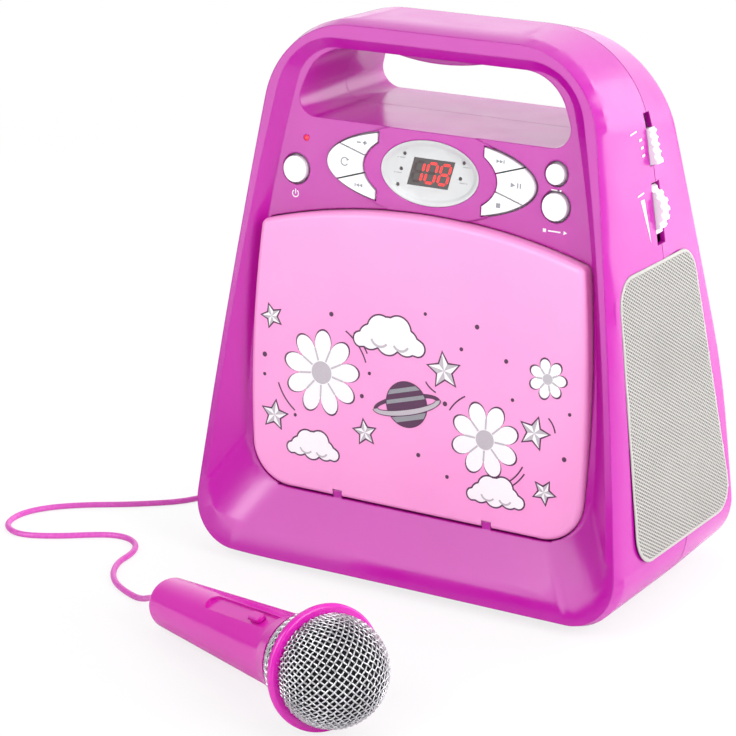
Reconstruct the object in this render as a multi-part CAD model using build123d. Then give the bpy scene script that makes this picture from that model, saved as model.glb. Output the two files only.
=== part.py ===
from build123d import *
from math import asin, cos, degrees, pi, radians, sin, sqrt, tan
import os

# Karaoke machine with a front disc door and a corded microphone.
# Millimetres, +Z up, the front looks towards -Y. The origin lies on the floor, under the middle of the
# cabinet's parting plane, where the front and rear shells meet.

# ---------------------------------------------------------------- driving dimensions
# Cabinet: an upright trapezoid with rounded corners, a leaning front and a handle tunnel through its top.
FOOT_HEIGHT = 3.5          # floor to the underside of the shells
CABINET_TOP = 270.5        # floor to the top of the handle, at the parting plane
PARTING_HALF_LOW = 121.5   # half widths of the outline at the parting plane, at its foot and at its top
PARTING_HALF_TOP = 85.0
PARTING_RADII = (27.0, 54.0)
SIDE_BOW = 2.2             # how far the sides bow outwards
NOSE_DEPTH = 80.0          # the front section that the loft ends on, before the front is cut to its lean
NOSE_DRAW = 0.9            # how much narrower that section is, each side
NOSE_RADII = (25.0, 40.0)
NOSE_DROP = 1.0
TAIL_DEPTH = 70.0          # the rear section that the loft ends on
TAIL_DRAW = 4.0
TAIL_RADII = (25.0, 52.0)
TAIL_DROP = 16.5           # the top falls this much from the parting plane to that section
BACK_DEPTH = 66.0          # parting plane to the upright lower back
BACK_BREAK = 95.0          # height where the back starts to lean forward
BACK_LEAN = 12.7           # degrees
BACK_BEND = 220.0          # radius of that bend
BACK_EDGE = 8.0            # rounding of the rear edges
WALL = 2.5                 # moulded wall of the shells
SEAM_WIDTH = 0.5           # groove between the two shells
SEAM_DEPTH = 0.45

# Rim round the front
RIM_LEAN = 7.0             # degrees that the rim's face leans back
RIM_FOOT = -76.0           # where the rim's face would meet the floor
BEVEL_DEPTH = 2.0          # outer bevel of the rim
BEVEL_WIDTH = 6.0
FLOOR_LEAN = 5.0           # degrees that the recessed face behind the rim leans back
FLOOR_FOOT = -62.0         # where that recessed face would meet the floor
RECESS_LOW = 38.5          # bottom and top of the recessed face
RECESS_TOP = 257.0
RECESS_HALF_LOW = PARTING_HALF_LOW - 25.5
RECESS_HALF_TOP = PARTING_HALF_TOP - 15.0
RECESS_RADII = (24.0, 22.0)
RECESS_BOW = 8.5
MOUTH_AHEAD = 4.0          # the recess is drawn to an outline this far ahead of the rim's face
MOUTH_INSET = 2.0
MOUTH_LOW = 4.5

# Handle tunnel
TUNNEL_LOW = 222.0
TUNNEL_TOP = 256.0
TUNNEL_HALF_LOW = PARTING_HALF_TOP - 8.0
TUNNEL_HALF_TOP = PARTING_HALF_TOP - 21.0
TUNNEL_RADII = (9.0, 24.0)
GRIP_WIDTH = 56.0          # swelling under the handle for the fingers
GRIP_SAG = 3.5
GRIP_FRONT = -34.0
GRIP_BACK = 14.0

# Disc door, hinged along its lower edge
DOOR_HALF_LOW = 90.5
DOOR_HALF_TOP = 87.5
DOOR_CORNER_TOP = 171.0    # height of the door's upper corners
DOOR_CROWN = 12.5          # rise of the arched upper edge
DOOR_BOW = 3.3
DOOR_CORNER_LOW = 22.0
DOOR_CORNER_HIGH = 4.0
DOOR_WALL = 2.2
DOOR_LEAN = 2.1            # degrees that the door's face leans back
DOOR_PUFF = 0.8            # crown of the door's face
DOOR_SKIRT = 3.0           # how far the door's skirt reaches behind the recessed face
DOOR_GAP = 0.6
DOOR_EDGE = 3.0            # rounding of the door's front edge
HINGE_Y = -57.2
HINGE_Z = 40.6
BARREL_RADIUS = 2.4
DOOR_LOW = HINGE_Z - BARREL_RADIUS
EAR_X = 41.6
EAR_WIDTH = 4.6
EAR_RADIUS = 2.0
CHANNEL_REACH = 8.0        # how far the hinge's channel runs on under the door's corners
EAR_GAP = 0.4
PIN_RADIUS = 1.0
PIN_LENGTH = 20.0
RUNNING = 0.05             # radial clearance of a shaft that turns or slides in its bore

# Oval display and its keys; heights are along the recessed face
OVAL_X = 1.0
OVAL_HEIGHT = 203.4
OVAL_HALF_WIDTH = 26.5
OVAL_HALF_HEIGHT = 15.6
DISH_DEPTH = 1.4
OVAL_PROUD = 0.9
COLLAR_HALF_WIDTH = 47.0   # ring that runs into the door's upper edge
COLLAR_HALF_HEIGHT = 22.3
WINDOW_WIDTH = 22.0
WINDOW_HEIGHT = 13.2
WINDOW_SLANT = 3.4
LED_RADIUS = 0.8
POWER_LED_RADIUS = 1.5
LED_SPOTS = [(-14.6, 7.8), (-16.2, 0.4), (-17.6, -7.2), (17.4, 7.0), (15.9, -0.6)]
CLUSTER_OUTER = (56.0, 18.6)
CLUSTER_INNER = (36.6, 18.9)
CLUSTER_TIP = 29.0         # the crescent ends at this distance from the oval's middle
CLUSTER_SPLITS = (4.9, -4.2)
SPLIT_SLANT = 17.0         # degrees
KEY_GAP = 0.7
KEY_SPLIT_GAP = 0.7
KEY_PROUD = 1.6
KEY_EDGE = 0.5
KEY_FLANGE = 1.2
FLANGE_CEILING = 219.3     # the flanges end under the handle tunnel
FASCIA_FLANGE = 1.0
FLANGE_THICK = 1.0
KEY_TRAVEL = 0.8
STEM_RADIUS = 1.6
ROUND_KEYS = {"key_left_round": (-73.2, 196.6, 6.4), "key_right_small": (67.1, 211.4, 4.8),
              "key_right_large": (67.7, 196.3, 6.4)}
ROUND_DISH = 1.3           # dark ring sunk round each round key
POWER_LED_SPOT = (-68.2, 212.2)

# Boards behind the panel
KEY_BOARD_SIZE = (162.0, 28.0, 1.6)
KEY_BOARD_DEPTH = 10.0     # behind the recessed face
KEY_BOARD_HEIGHT = 203.4
KEY_BOARD_POSTS = [(57.0, 214.0), (57.0, 192.5), (-57.0, 214.0), (-57.0, 192.5)]
KEY_POST_RADIUS = 2.2
SWITCH_SIZE = 6.0
SWITCH_HEIGHT = 3.4
PLUNGER_RADIUS = 1.4
PLUNGER_PROUD = 0.4
MAIN_BOARD_SIZE = (120.0, 1.6, 78.0)
MAIN_BOARD_Y = 20.0
MAIN_BOARD_Z = 150.0
SINK_FINS = 7

# Disc well and drive; heights along the recessed face, depths behind it
WELL_LIP = 2.0
WELL_FRONT = 4.2
WELL_THICK = 2.0
POCKET_RADIUS = 62.5
POCKET_DEPTH = 10.0
DISC_HEIGHT = 108.4
NOTCH_RADIUS = 11.0
HUB_HOLE = 17.0
HUB_RADIUS = 7.4
HUB_LENGTH = 3.4
TABLE_RADIUS = 14.5
TABLE_DEPTH = 8.2
TABLE_THICK = 1.4
STEM_OF_HUB = 4.5
SHAFT_RADIUS = 1.0
DECK_DEPTH = 22.0
DECK_THICK = 1.5
DECK_SPAN = (-40.0, 76.0)
DECK_HALF = 38.0
DAMPER_RADIUS = 4.0
DAMPER_SPOTS = [(-33.0, 31.0), (-33.0, -31.0), (50.0, 31.0), (50.0, -31.0)]
MOTOR_RADIUS = 12.0
MOTOR_LENGTH = 11.0
ROD_RADIUS = 1.5
ROD_SPREAD = 20.0
ROD_DEPTH = 17.0
ROD_SPAN = (0.0, 75.0)
POST_THICK = 3.0
POST_HALF = 3.0
SLED_SIZE = (28.0, 52.0, 8.0)
SLED_START = 24.0
SLED_TRAVEL = 32.0
LENS_SLOT = (SLED_START - 6.0, SLED_START + SLED_TRAVEL + 5.0, 9.0)
LENS_RADIUS = 3.0
LENS_DOME = 4.6
SCREW_SPREAD = -12.0
SCREW_RADIUS = 1.5
SCREW_START = 5.0
FEED_MOTOR_RADIUS = 4.6
FEED_MOTOR_LENGTH = 16.0

# Speakers and their grilles, one on each side
SPEAKER_Y = -4.0
SPEAKER_Z = 95.0
SPEAKER_FLANGE = 38.5
SPEAKER_OPENING = 34.0
SPEAKER_RIM = 1.5
BASKET_DEPTH = 20.0
BASKET_BACK = 20.0
MAGNET_RADIUS = 19.0
MAGNET_THICK = 9.0
CONE_BACK = 11.0
BAFFLE = 3.2               # wall thickness behind the grille
GRILLE_THICK = 1.2
GRILLE_GAP = 0.15
GRILLE_CORNERS = [(-54.0, 31.0), (50.0, 31.0), (33.0, 165.0), (-46.0, 165.0)]   # y and z of its outline
GRILLE_RADIUS = 14.0

# Controls on the right side, at the parting plane
WHEEL_Z = 187.0
WHEEL_RADIUS = 14.0
WHEEL_PROUD = 4.2
WHEEL_WIDTH = 7.0
WHEEL_LOBES = 20
LOBE_DEPTH = 1.0
WHEEL_SLOT_HALF = 14.6
WHEEL_SLOT_WIDTH = 8.6
POT_SIZE = (10.0, 7.0, 15.0)
POT_SHAFT = 3.0
POT_Y = 5.0
SLIDER_Z = 221.5
SLIDER_LENGTH = 17.0
SLIDER_WIDTH = 6.0
SLIDER_PROUD = 3.4
SLIDER_TRAVEL = 7.0
SLIDER_GAP = 0.4
SLIDER_RIDGES = 5
SWITCH_BODY = (5.0, 9.0, 26.0)
SIDE_BOARD_SIZE = (6.4, 1.6, 48.0)
SIDE_BOARD_X = 83.8
SIDE_BOARD_Y = 12.0
SIDE_BOARD_Z = 203.0

# Battery bay for six C cells, and its door in the lower back
BAY_HALF = PARTING_HALF_LOW - 44.5
BAY_DEPTH = 29.0
BAY_LOW = 12.0
BAY_HIGH = 66.0
BAY_WALL = 2.0
BAY_LEDGE = 5.0
LEDGE_THICK = 2.1
HATCH_THICK = 2.4
HATCH_GAP = 0.35
CONTACT_SIZE = (0.6, 16.0, 18.0)

# Fastening and feet
# how far inside the side and how high each boss stands, then the offset and size in x and z of the
# web that ties it to the shell
BOSSES = [(27.75, 20.0, (0.0, -8.0), (2.0, 16.0)), (16.4, 152.0, (7.0, 0.0), (14.0, 2.0)),
          (34.35, 213.0, (0.0, 4.0), (2.0, 8.0))]
BOSS_RADIUS = 4.6
BOSS_FRONT_REACH = 30.0
PILOT_RADIUS = 1.25
SCREW_SHANK = 1.2
SCREW_HEAD = 3.0
SCREW_HEAD_THICK = 2.4
SCREW_BITE = 12.0
SCREW_SEAT = 6.0
HEAD_WELL = 3.5
FOOT_RADIUS = 7.0
FOOT_X = PARTING_HALF_LOW - 33.5
FOOT_SPOTS = [(FOOT_X, -56.0), (FOOT_X, 44.0)]

# Sockets in the back
JACK_X = 31.5 - PARTING_HALF_LOW
JACK_HEIGHTS = (34.0, 58.0)   # the plug is in the lower one
JACK_RADIUS = 3.25
JACK_NOSE = 4.4
JACK_BODY = (12.0, 16.0, 12.0)
DC_SPOT = (-JACK_X, 34.0)
DC_NOSE = 4.4
DC_BORE = 2.8
DC_PIN = 1.0
USB_SPOT = (-JACK_X, 58.0)
USB_FACE = (14.0, 6.6)
USB_SLOT = (12.2, 4.6)
USB_DEPTH = 14.0
USB_FLANGE = (18.0, 1.2, 10.0)

# Air slots in the back
VENT_ROWS = 4
VENT_LOW = 112.0
VENT_PITCH = 7.0
VENT_LENGTH = 36.0
VENT_WIDTH = 3.0
VENT_SPREAD = 44.0

# Microphone, lying in front on its ring and its tail; places along it are measured from the tail
MIC_TAIL = Vector(-72.1, -160.1, 11.95)
MIC_HEAD = Vector(57.0, -221.2, 29.3)      # middle of the ball
MIC_BALL = 25.0
MIC_TAIL_RADIUS = 11.9
MIC_TAIL_ROUND = 5.0
MIC_TAPER_END = 109.0      # the handle widens evenly up to here, then flares to its end
MIC_NECK_RADIUS = 17.2
MIC_NECK = 120.0           # tail to the end of the handle
MIC_FLARE_RADIUS = 20.3
MIC_WALL = 2.6
MIC_FLAT = (51.0, 110.0)   # start and end of the flat round the switch
MIC_FLAT_WIDTH = 8.6
MIC_FLAT_DEPTH = 1.7
BASKET_START_RADIUS = 19.5
RING_BEHIND_HEAD = 6.1     # ring's middle behind the ball's
RING_RADIUS = 28.1
RING_THICK = 4.0
MESH_THICK = 1.2
CAPSULE_RADIUS = 9.0
CAPSULE_LENGTH = 12.0
MIC_TURN = 25.0            # of the flat about the axis, from straight up
MIC_SWITCH_AT = 93.0
MIC_SWITCH_SIZE = (4.6, 9.5, 2.6)
MIC_SWITCH_TRAVEL = 4.0
GLAND_RADIUS = 3.0
GLAND_LENGTH = 4.0

# Cord: two free runs and a put-away coil, all lying at the height of its own radius
CORD_RADIUS = 1.5
CORD_LIE = 1.6
COIL_PITCH = 3.6
COIL_LARGE = 26.0
COIL_HALF_TURNS = 7        # in each of its two layers
COIL_Y = 154.0
COIL_SAMPLES = 24
END_STRAIGHT = 3.0
PLUG_PIN = 3.15
PLUG_PIN_LENGTH = 14.0
PLUG_RADIUS = 5.2
PLUG_LENGTH = 24.0
RELIEF_LENGTH = 9.0
FACE_GAP = 0.3


# ---------------------------------------------------------------- small helpers
ON_BASE = (Align.CENTER, Align.CENTER, Align.MIN)
UNDER = (Align.CENTER, Align.CENTER, Align.MAX)
MIRROR = Plane.YZ
FAR = 400.0                # longer than anything in the part


def leaning(lean, foot):
    """Plane facing the front that leans back by so many degrees and meets the floor at y = foot."""
    return Plane(origin=(0, foot, 0), x_dir=(1, 0, 0), z_dir=(0, -cos(radians(lean)), sin(radians(lean))))


def upright(y):
    return Plane(origin=(0, y, 0), x_dir=(1, 0, 0), z_dir=(0, -1, 0))


RIM = leaning(RIM_LEAN, RIM_FOOT)
FLOOR = leaning(FLOOR_LEAN, FLOOR_FOOT)


def on_floor(x, height, ahead=0.0):
    """A place on the recessed face: across, along its height, and ahead of it."""
    return FLOOR * Pos(x, height, ahead)


def outline(half_low, half_top, low, top, radii, bow=0.0, inset=0.0):
    """Face of an upright trapezoid with rounded corners and sides that bow out, in local x and y."""
    slope = (half_low - half_top) / (top - low)
    skew = sqrt(1 + slope**2)
    foot, head = low + inset, top - inset
    wide = half_low - inset * (slope + skew)
    narrow = half_top + inset * (slope - skew)
    middle, half_way = (wide + narrow) / 2 + bow, (foot + head) / 2
    if bow:
        right = ThreePointArc((wide, foot), (middle, half_way), (narrow, head))
        left = ThreePointArc((-narrow, head), (-middle, half_way), (-wide, foot))
    else:
        right, left = Line((wide, foot), (narrow, head)), Line((-narrow, head), (-wide, foot))
    face = make_face([Line((-wide, foot), (wide, foot)), right, Line((narrow, head), (-narrow, head)), left])
    face = fillet(face.vertices().sort_by(Axis.Y)[:2], max(radii[0] - inset, 1.0))
    return fillet(face.vertices().sort_by(Axis.Y)[-2:], max(radii[1] - inset, 1.0))


def behind(plane, depth=0.0):
    """Block that fills the space behind a plane, starting so far behind it."""
    return plane * Pos(0, 0, -depth) * Box(2 * FAR, 4 * FAR, FAR, align=UNDER)


def between(plane, face, near, far):
    """Prism over a face, from one distance ahead of the plane to another."""
    return plane * Pos(0, 0, near) * extrude(face, far - near)


def rod(start, end, radius):
    start, end = Vector(*start), Vector(*end)
    return Plane(origin=start, z_dir=end - start) * Cylinder(radius, (end - start).length, align=ON_BASE)


def mirrored(shape):
    return mirror(shape, about=MIRROR)


def both_sides(shape):
    return shape + mirrored(shape)


def side_half_width(z):
    """Half width of the parting outline at a height, on its bowed side."""
    share = (z - FOOT_HEIGHT) / (CABINET_TOP - FOOT_HEIGHT)
    straight = PARTING_HALF_LOW + share * (PARTING_HALF_TOP - PARTING_HALF_LOW)
    return straight + SIDE_BOW * (1 - (2 * share - 1) ** 2)


def back_y(z):
    """Place of the back's outer face at a height."""
    return BACK_DEPTH - max(z - BACK_BREAK, 0) * tan(radians(BACK_LEAN))


def save(shape, name):
    export_step(shape, f"parts/{name}.step")


# ---------------------------------------------------------------- cabinet forms
def parting_outline(inset=0.0):
    return outline(PARTING_HALF_LOW, PARTING_HALF_TOP, FOOT_HEIGHT, CABINET_TOP, PARTING_RADII, SIDE_BOW,
                   inset)


def front_form(inset=0.0, past=0.0):
    """Outer form of the front half; past carries it beyond the parting plane."""
    nose = outline(PARTING_HALF_LOW - NOSE_DRAW, PARTING_HALF_TOP - NOSE_DRAW, FOOT_HEIGHT,
                   CABINET_TOP - NOSE_DROP, NOSE_RADII, SIDE_BOW, inset)
    form = loft([upright(past) * parting_outline(inset), upright(-NOSE_DEPTH) * nose], ruled=True)
    return form & behind(RIM, inset)


def back_profile(inset=0.0):
    """Side view of the rear half, extruded across."""
    back = BACK_DEPTH - inset
    lean = tan(radians(BACK_LEAN))
    corners = [(-5, 0), (back, 0), (back, BACK_BREAK), (back - (FAR - BACK_BREAK) * lean, FAR), (-FAR, FAR)]
    face = make_face(Polyline(*corners, close=True))
    bend = face.vertices().sort_by_distance((back, BACK_BREAK))[0]
    face = fillet(bend, BACK_BEND)
    return Plane.YZ * Pos(0, 0, -FAR / 2) * extrude(face, FAR)


def rear_form(inset=0.0, past=0.0):
    tail = outline(PARTING_HALF_LOW - TAIL_DRAW, PARTING_HALF_TOP - TAIL_DRAW, FOOT_HEIGHT,
                   CABINET_TOP - TAIL_DROP, TAIL_RADII, SIDE_BOW, inset)
    form = loft([upright(-past) * parting_outline(inset), upright(TAIL_DEPTH) * tail], ruled=True)
    return form & back_profile(inset)


def recess(grow=0.0):
    """The hollow that the rim frames, drawn from its mouth down to the recessed face."""
    mouth = outline(PARTING_HALF_LOW - NOSE_DRAW, PARTING_HALF_TOP - NOSE_DRAW, MOUTH_LOW - grow,
                    CABINET_TOP - NOSE_DROP, NOSE_RADII, SIDE_BOW, MOUTH_INSET - grow)
    foot = outline(RECESS_HALF_LOW, RECESS_HALF_TOP, RECESS_LOW, RECESS_TOP, RECESS_RADII, RECESS_BOW, -grow)
    return loft([RIM * Pos(0, 0, MOUTH_AHEAD) * mouth, FLOOR * Pos(0, 0, -grow) * foot], ruled=True)


def tunnel(grow=0.0):
    face = outline(TUNNEL_HALF_LOW, TUNNEL_HALF_TOP, TUNNEL_LOW, TUNNEL_TOP, TUNNEL_RADII, 0.0, -grow)
    return upright(FAR / 2) * extrude(face, FAR)


def grip():
    """Shallow swelling under the handle, its section part of a circle."""
    radius = (GRIP_WIDTH**2 / 4 + GRIP_SAG**2) / (2 * GRIP_SAG)
    length = GRIP_BACK - GRIP_FRONT
    middle = TUNNEL_TOP - GRIP_SAG + radius
    bar = upright(GRIP_BACK) * Pos(0, middle) * Cylinder(radius, length, align=ON_BASE)
    strip = Box(GRIP_WIDTH, length, GRIP_SAG + 1.0, align=UNDER)
    return bar & Pos(0, (GRIP_FRONT + GRIP_BACK) / 2, TUNNEL_TOP + 1.0) * strip


def arc_circle(start, middle, end):
    """Centre and radius of the circle through three points."""
    (ax, ay), (bx, by), (cx, cy) = start, middle, end
    twice = 2 * (ax * (by - cy) + bx * (cy - ay) + cx * (ay - by))
    x = ((ax**2 + ay**2) * (by - cy) + (bx**2 + by**2) * (cy - ay) + (cx**2 + cy**2) * (ay - by)) / twice
    y = ((ax**2 + ay**2) * (cx - bx) + (bx**2 + by**2) * (ax - cx) + (cx**2 + cy**2) * (bx - ax)) / twice
    return x, y, sqrt((ax - x)**2 + (ay - y)**2)


def door_outline(grow=0.0):
    """Arched door with bowed sides, in the recessed face's own x and height."""
    top, low = DOOR_CORNER_TOP, DOOR_LOW
    bulge = (DOOR_HALF_LOW + DOOR_HALF_TOP) / 2 + DOOR_BOW
    foot, corner = (DOOR_HALF_LOW, low), (DOOR_HALF_TOP, top)
    side_x, side_y, side_radius = arc_circle(foot, (bulge, (low + top) / 2), corner)
    _, arch_y, arch_radius = arc_circle(corner, (0, top + DOOR_CROWN), (-DOOR_HALF_TOP, top))
    side = Circle(side_radius + grow)
    face = Pos(side_x, side_y) * side & Pos(-side_x, side_y) * side
    face &= Pos(0, arch_y) * Circle(arch_radius + grow)
    face &= Pos(0, low - grow + FAR / 2) * Rectangle(FAR, FAR)
    face = fillet(face.vertices().sort_by(Axis.Y)[:2], DOOR_CORNER_LOW + grow)
    return fillet(face.vertices().sort_by(Axis.Y)[-2:], max(DOOR_CORNER_HIGH + grow, 1.0))


def oval(half_width, half_height):
    return Pos(OVAL_X, OVAL_HEIGHT) * Ellipse(half_width, half_height)


def door_face(depth=0.0):
    """Space behind the door's gently crowned face, less a depth."""
    foot = Vector(0, HINGE_Y - BARREL_RADIUS + depth, DOOR_LOW)
    rise = DOOR_CORNER_TOP + DOOR_CROWN - DOOR_LOW
    lean = tan(radians(DOOR_LEAN))
    head = (foot.Y + rise * lean, foot.Z + rise)
    middle = (foot.Y + rise * lean / 2 - DOOR_PUFF, foot.Z + rise / 2)
    edge = ThreePointArc((foot.Y, foot.Z), middle, head)
    beyond = (head[0] + 10 * lean, head[1] + 10)
    lines = [edge, Line(head, beyond), Line(beyond, (0, beyond[1])), Line((0, beyond[1]), (0, foot.Z - 10)),
             Line((0, foot.Z - 10), (foot.Y, foot.Z - 10)), Line((foot.Y, foot.Z - 10), (foot.Y, foot.Z))]
    return Plane.YZ * Pos(0, 0, -FAR / 2) * extrude(make_face(lines), FAR)


# ---------------------------------------------------------------- keys
def crescent(side, grow=0.0):
    """Half-moon beside the oval on one side; side is -1 on the left and 1 on the right."""
    outer = oval(CLUSTER_OUTER[0] + grow, CLUSTER_OUTER[1] + grow)
    inner = oval(CLUSTER_INNER[0] - grow, CLUSTER_INNER[1] - grow)
    half = Pos(OVAL_X + side * (CLUSTER_TIP - grow + FAR / 2), OVAL_HEIGHT) * Rectangle(FAR, FAR)
    return (outer - inner) & half


def key_sector(side, row, shrink=0.0):
    """Band across one crescent for its upper, middle or lower key; row is 0, 1 or 2."""
    slant = tan(radians(SPLIT_SLANT))
    near, reach = CLUSTER_INNER[0], 60.0
    upper, lower = CLUSTER_SPLITS
    limits = [(40.0, upper, 0.0, slant), (upper, lower, slant, -slant), (lower, -40.0, -slant, 0.0)]
    top, bottom, top_slant, bottom_slant = limits[row]
    top_in = top - shrink - top_slant * near
    bottom_in = bottom + shrink - bottom_slant * near
    points = [(0, top_in), (reach, top_in + top_slant * reach),
              (reach, bottom_in + bottom_slant * reach), (0, bottom_in)]
    return Pos(OVAL_X, OVAL_HEIGHT) * make_face(Polyline(*[(side * x, y) for x, y in points], close=True))


def key_solid(cap, flange, stem_spot):
    """One key: cap through the panel, flange behind it and a stem towards its switch."""
    body = between(FLOOR, cap, -WALL - KEY_EDGE, KEY_PROUD)
    body += between(FLOOR, flange, -WALL - KEY_EDGE - FLANGE_THICK, -WALL - KEY_EDGE)
    stem_end = -KEY_BOARD_DEPTH + SWITCH_HEIGHT + KEY_TRAVEL + KEY_GAP
    return body + between(FLOOR, Pos(*stem_spot) * Circle(STEM_RADIUS), stem_end, -WALL - KEY_EDGE)


def key_table():
    """Name, cap face, flange face and stem place of each of the nine keys."""
    table = []
    for side, word in ((-1, "left"), (1, "right")):
        for row, level in enumerate(("upper", "middle", "lower")):
            cap = crescent(side) & key_sector(side, row, KEY_SPLIT_GAP / 2)
            flange = crescent(side, KEY_FLANGE + KEY_GAP) & key_sector(side, row, KEY_SPLIT_GAP / 2)
            flange &= Pos(0, FLANGE_CEILING - FAR / 2) * Rectangle(FAR, FAR)
            centre = cap.faces()[0].center()
            table.append((f"key_{word}_{level}", cap, flange, (centre.X, centre.Y)))
    for name, (x, height, radius) in ROUND_KEYS.items():
        cap = Pos(x, height) * Circle(radius)
        table.append((name, cap, Pos(x, height) * Circle(radius + KEY_FLANGE), (x, height)))
    return table


# ---------------------------------------------------------------- side forms
SIDE_TILT = degrees(asin((PARTING_HALF_LOW - PARTING_HALF_TOP) / (CABINET_TOP - FOOT_HEIGHT)))
SIDE = Plane(origin=(side_half_width(SPEAKER_Z), 0, SPEAKER_Z), x_dir=(0, 1, 0),
             z_dir=(cos(radians(SIDE_TILT)), 0, sin(radians(SIDE_TILT))))


def grille_face(grow=0.0):
    points = [(y, (z - SPEAKER_Z) / cos(radians(SIDE_TILT))) for y, z in GRILLE_CORNERS]
    face = fillet(make_face(Polyline(*points, close=True)).vertices(), GRILLE_RADIUS)
    return offset(face, grow) if grow else face


def side_hole(radius):
    return Pos(SPEAKER_Y, 0) * Circle(radius)


def grille_pocket():
    """Cut for the grille plate and the speaker's opening, right side."""
    pocket = between(SIDE, grille_face(GRILLE_GAP), -GRILLE_THICK, 12)
    return pocket + between(SIDE, side_hole(SPEAKER_OPENING), -BAFFLE - GRILLE_THICK - 6, 0)


def baffle():
    """Thick wall behind the grille, right side."""
    return between(SIDE, grille_face(2 * WALL), -BAFFLE - GRILLE_THICK, 0)


def speaker_room():
    """Space behind the baffle that the speaker's rim needs, right side."""
    return between(SIDE, side_hole(SPEAKER_FLANGE + 1), -BAFFLE - GRILLE_THICK - 8, -BAFFLE - GRILLE_THICK)


# ---------------------------------------------------------------- shells
def boss_places():
    return [(side * (side_half_width(z) - inside), z) for inside, z, _, _ in BOSSES for side in (-1, 1)]


def front_bosses():
    """Bosses and webs of the right side that the case screws bite into."""
    bosses = Part()
    for inside, z, (dx, dz), (wide, tall) in BOSSES:
        x = side_half_width(z) - inside
        bosses += rod((x, 0, z), (x, -BOSS_FRONT_REACH, z), BOSS_RADIUS)
        bosses += slab(x + dx, -BOSS_FRONT_REACH / 2, z + dz, (wide, BOSS_FRONT_REACH, tall))
    return bosses


def slab(x, y, z, size):
    return Pos(x, y, z) * Box(*size)


def wheel_slot():
    x = side_half_width(WHEEL_Z)
    return slab(x - 6, 0, WHEEL_Z, (30, WHEEL_SLOT_WIDTH, 2 * WHEEL_SLOT_HALF))


SLIDER_TILT = 15.0
SLIDER = Plane(origin=(side_half_width(SLIDER_Z) - 0.9, 0, SLIDER_Z), x_dir=(0, 1, 0),
               z_dir=(cos(radians(SLIDER_TILT)), 0, sin(radians(SLIDER_TILT))))


def slider_slot():
    length = SLIDER_LENGTH + SLIDER_TRAVEL + 2 * SLIDER_GAP
    return SLIDER * Box(SLIDER_WIDTH + 2 * SLIDER_GAP, length, 16)


def hatch_block(grow=0.0):
    """The battery door's outline through the lower back."""
    width, height = 2 * (BAY_HALF - BAY_LEDGE + grow), BAY_HIGH - BAY_LOW + 2 * grow
    face = fillet(Rectangle(width, height).vertices(), 4.0)
    return Pos(0, (BAY_LOW + BAY_HIGH) / 2) * face


def bay_floor_y():
    return BACK_DEPTH - HATCH_THICK - LEDGE_THICK - BAY_DEPTH


def board_posts():
    """Place, start and radius of the posts that carry the main board and the side board."""
    half_width, half_height = MAIN_BOARD_SIZE[0] / 2 - 7, MAIN_BOARD_SIZE[2] / 2 - 7
    back = MAIN_BOARD_Y + MAIN_BOARD_SIZE[1]
    posts = [(x, MAIN_BOARD_Z + z, back, 3.0) for x in (-half_width, half_width)
             for z in (-half_height, half_height)]
    side_back = SIDE_BOARD_Y + SIDE_BOARD_SIZE[1]
    return posts + [(SIDE_BOARD_X, SIDE_BOARD_Z + z, side_back, 2.2) for z in (-18.0, 18.0)]


def hinge_rod(middle, length, radius):
    return rod((middle - length / 2, HINGE_Y, HINGE_Z), (middle + length / 2, HINGE_Y, HINGE_Z), radius)


def hinge_pin(side, grow=0.0):
    return hinge_rod(side * EAR_X, PIN_LENGTH + 2 * grow, PIN_RADIUS + grow)


BAR_HALF = DOOR_HALF_LOW - DOOR_CORNER_LOW


def hinge_bar():
    """Round bar along the door's lower edge."""
    return hinge_rod(0, 2 * BAR_HALF, BARREL_RADIUS)


def hinge_channel():
    return hinge_rod(0, 2 * (BAR_HALF + CHANNEL_REACH), BARREL_RADIUS + DOOR_GAP + 0.15)


def seam():
    """Fine groove round the outside where the two shells meet."""
    ring = parting_outline(-1.0) - parting_outline(SEAM_DEPTH)
    return upright(SEAM_WIDTH / 2) * extrude(ring, SEAM_WIDTH)


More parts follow.
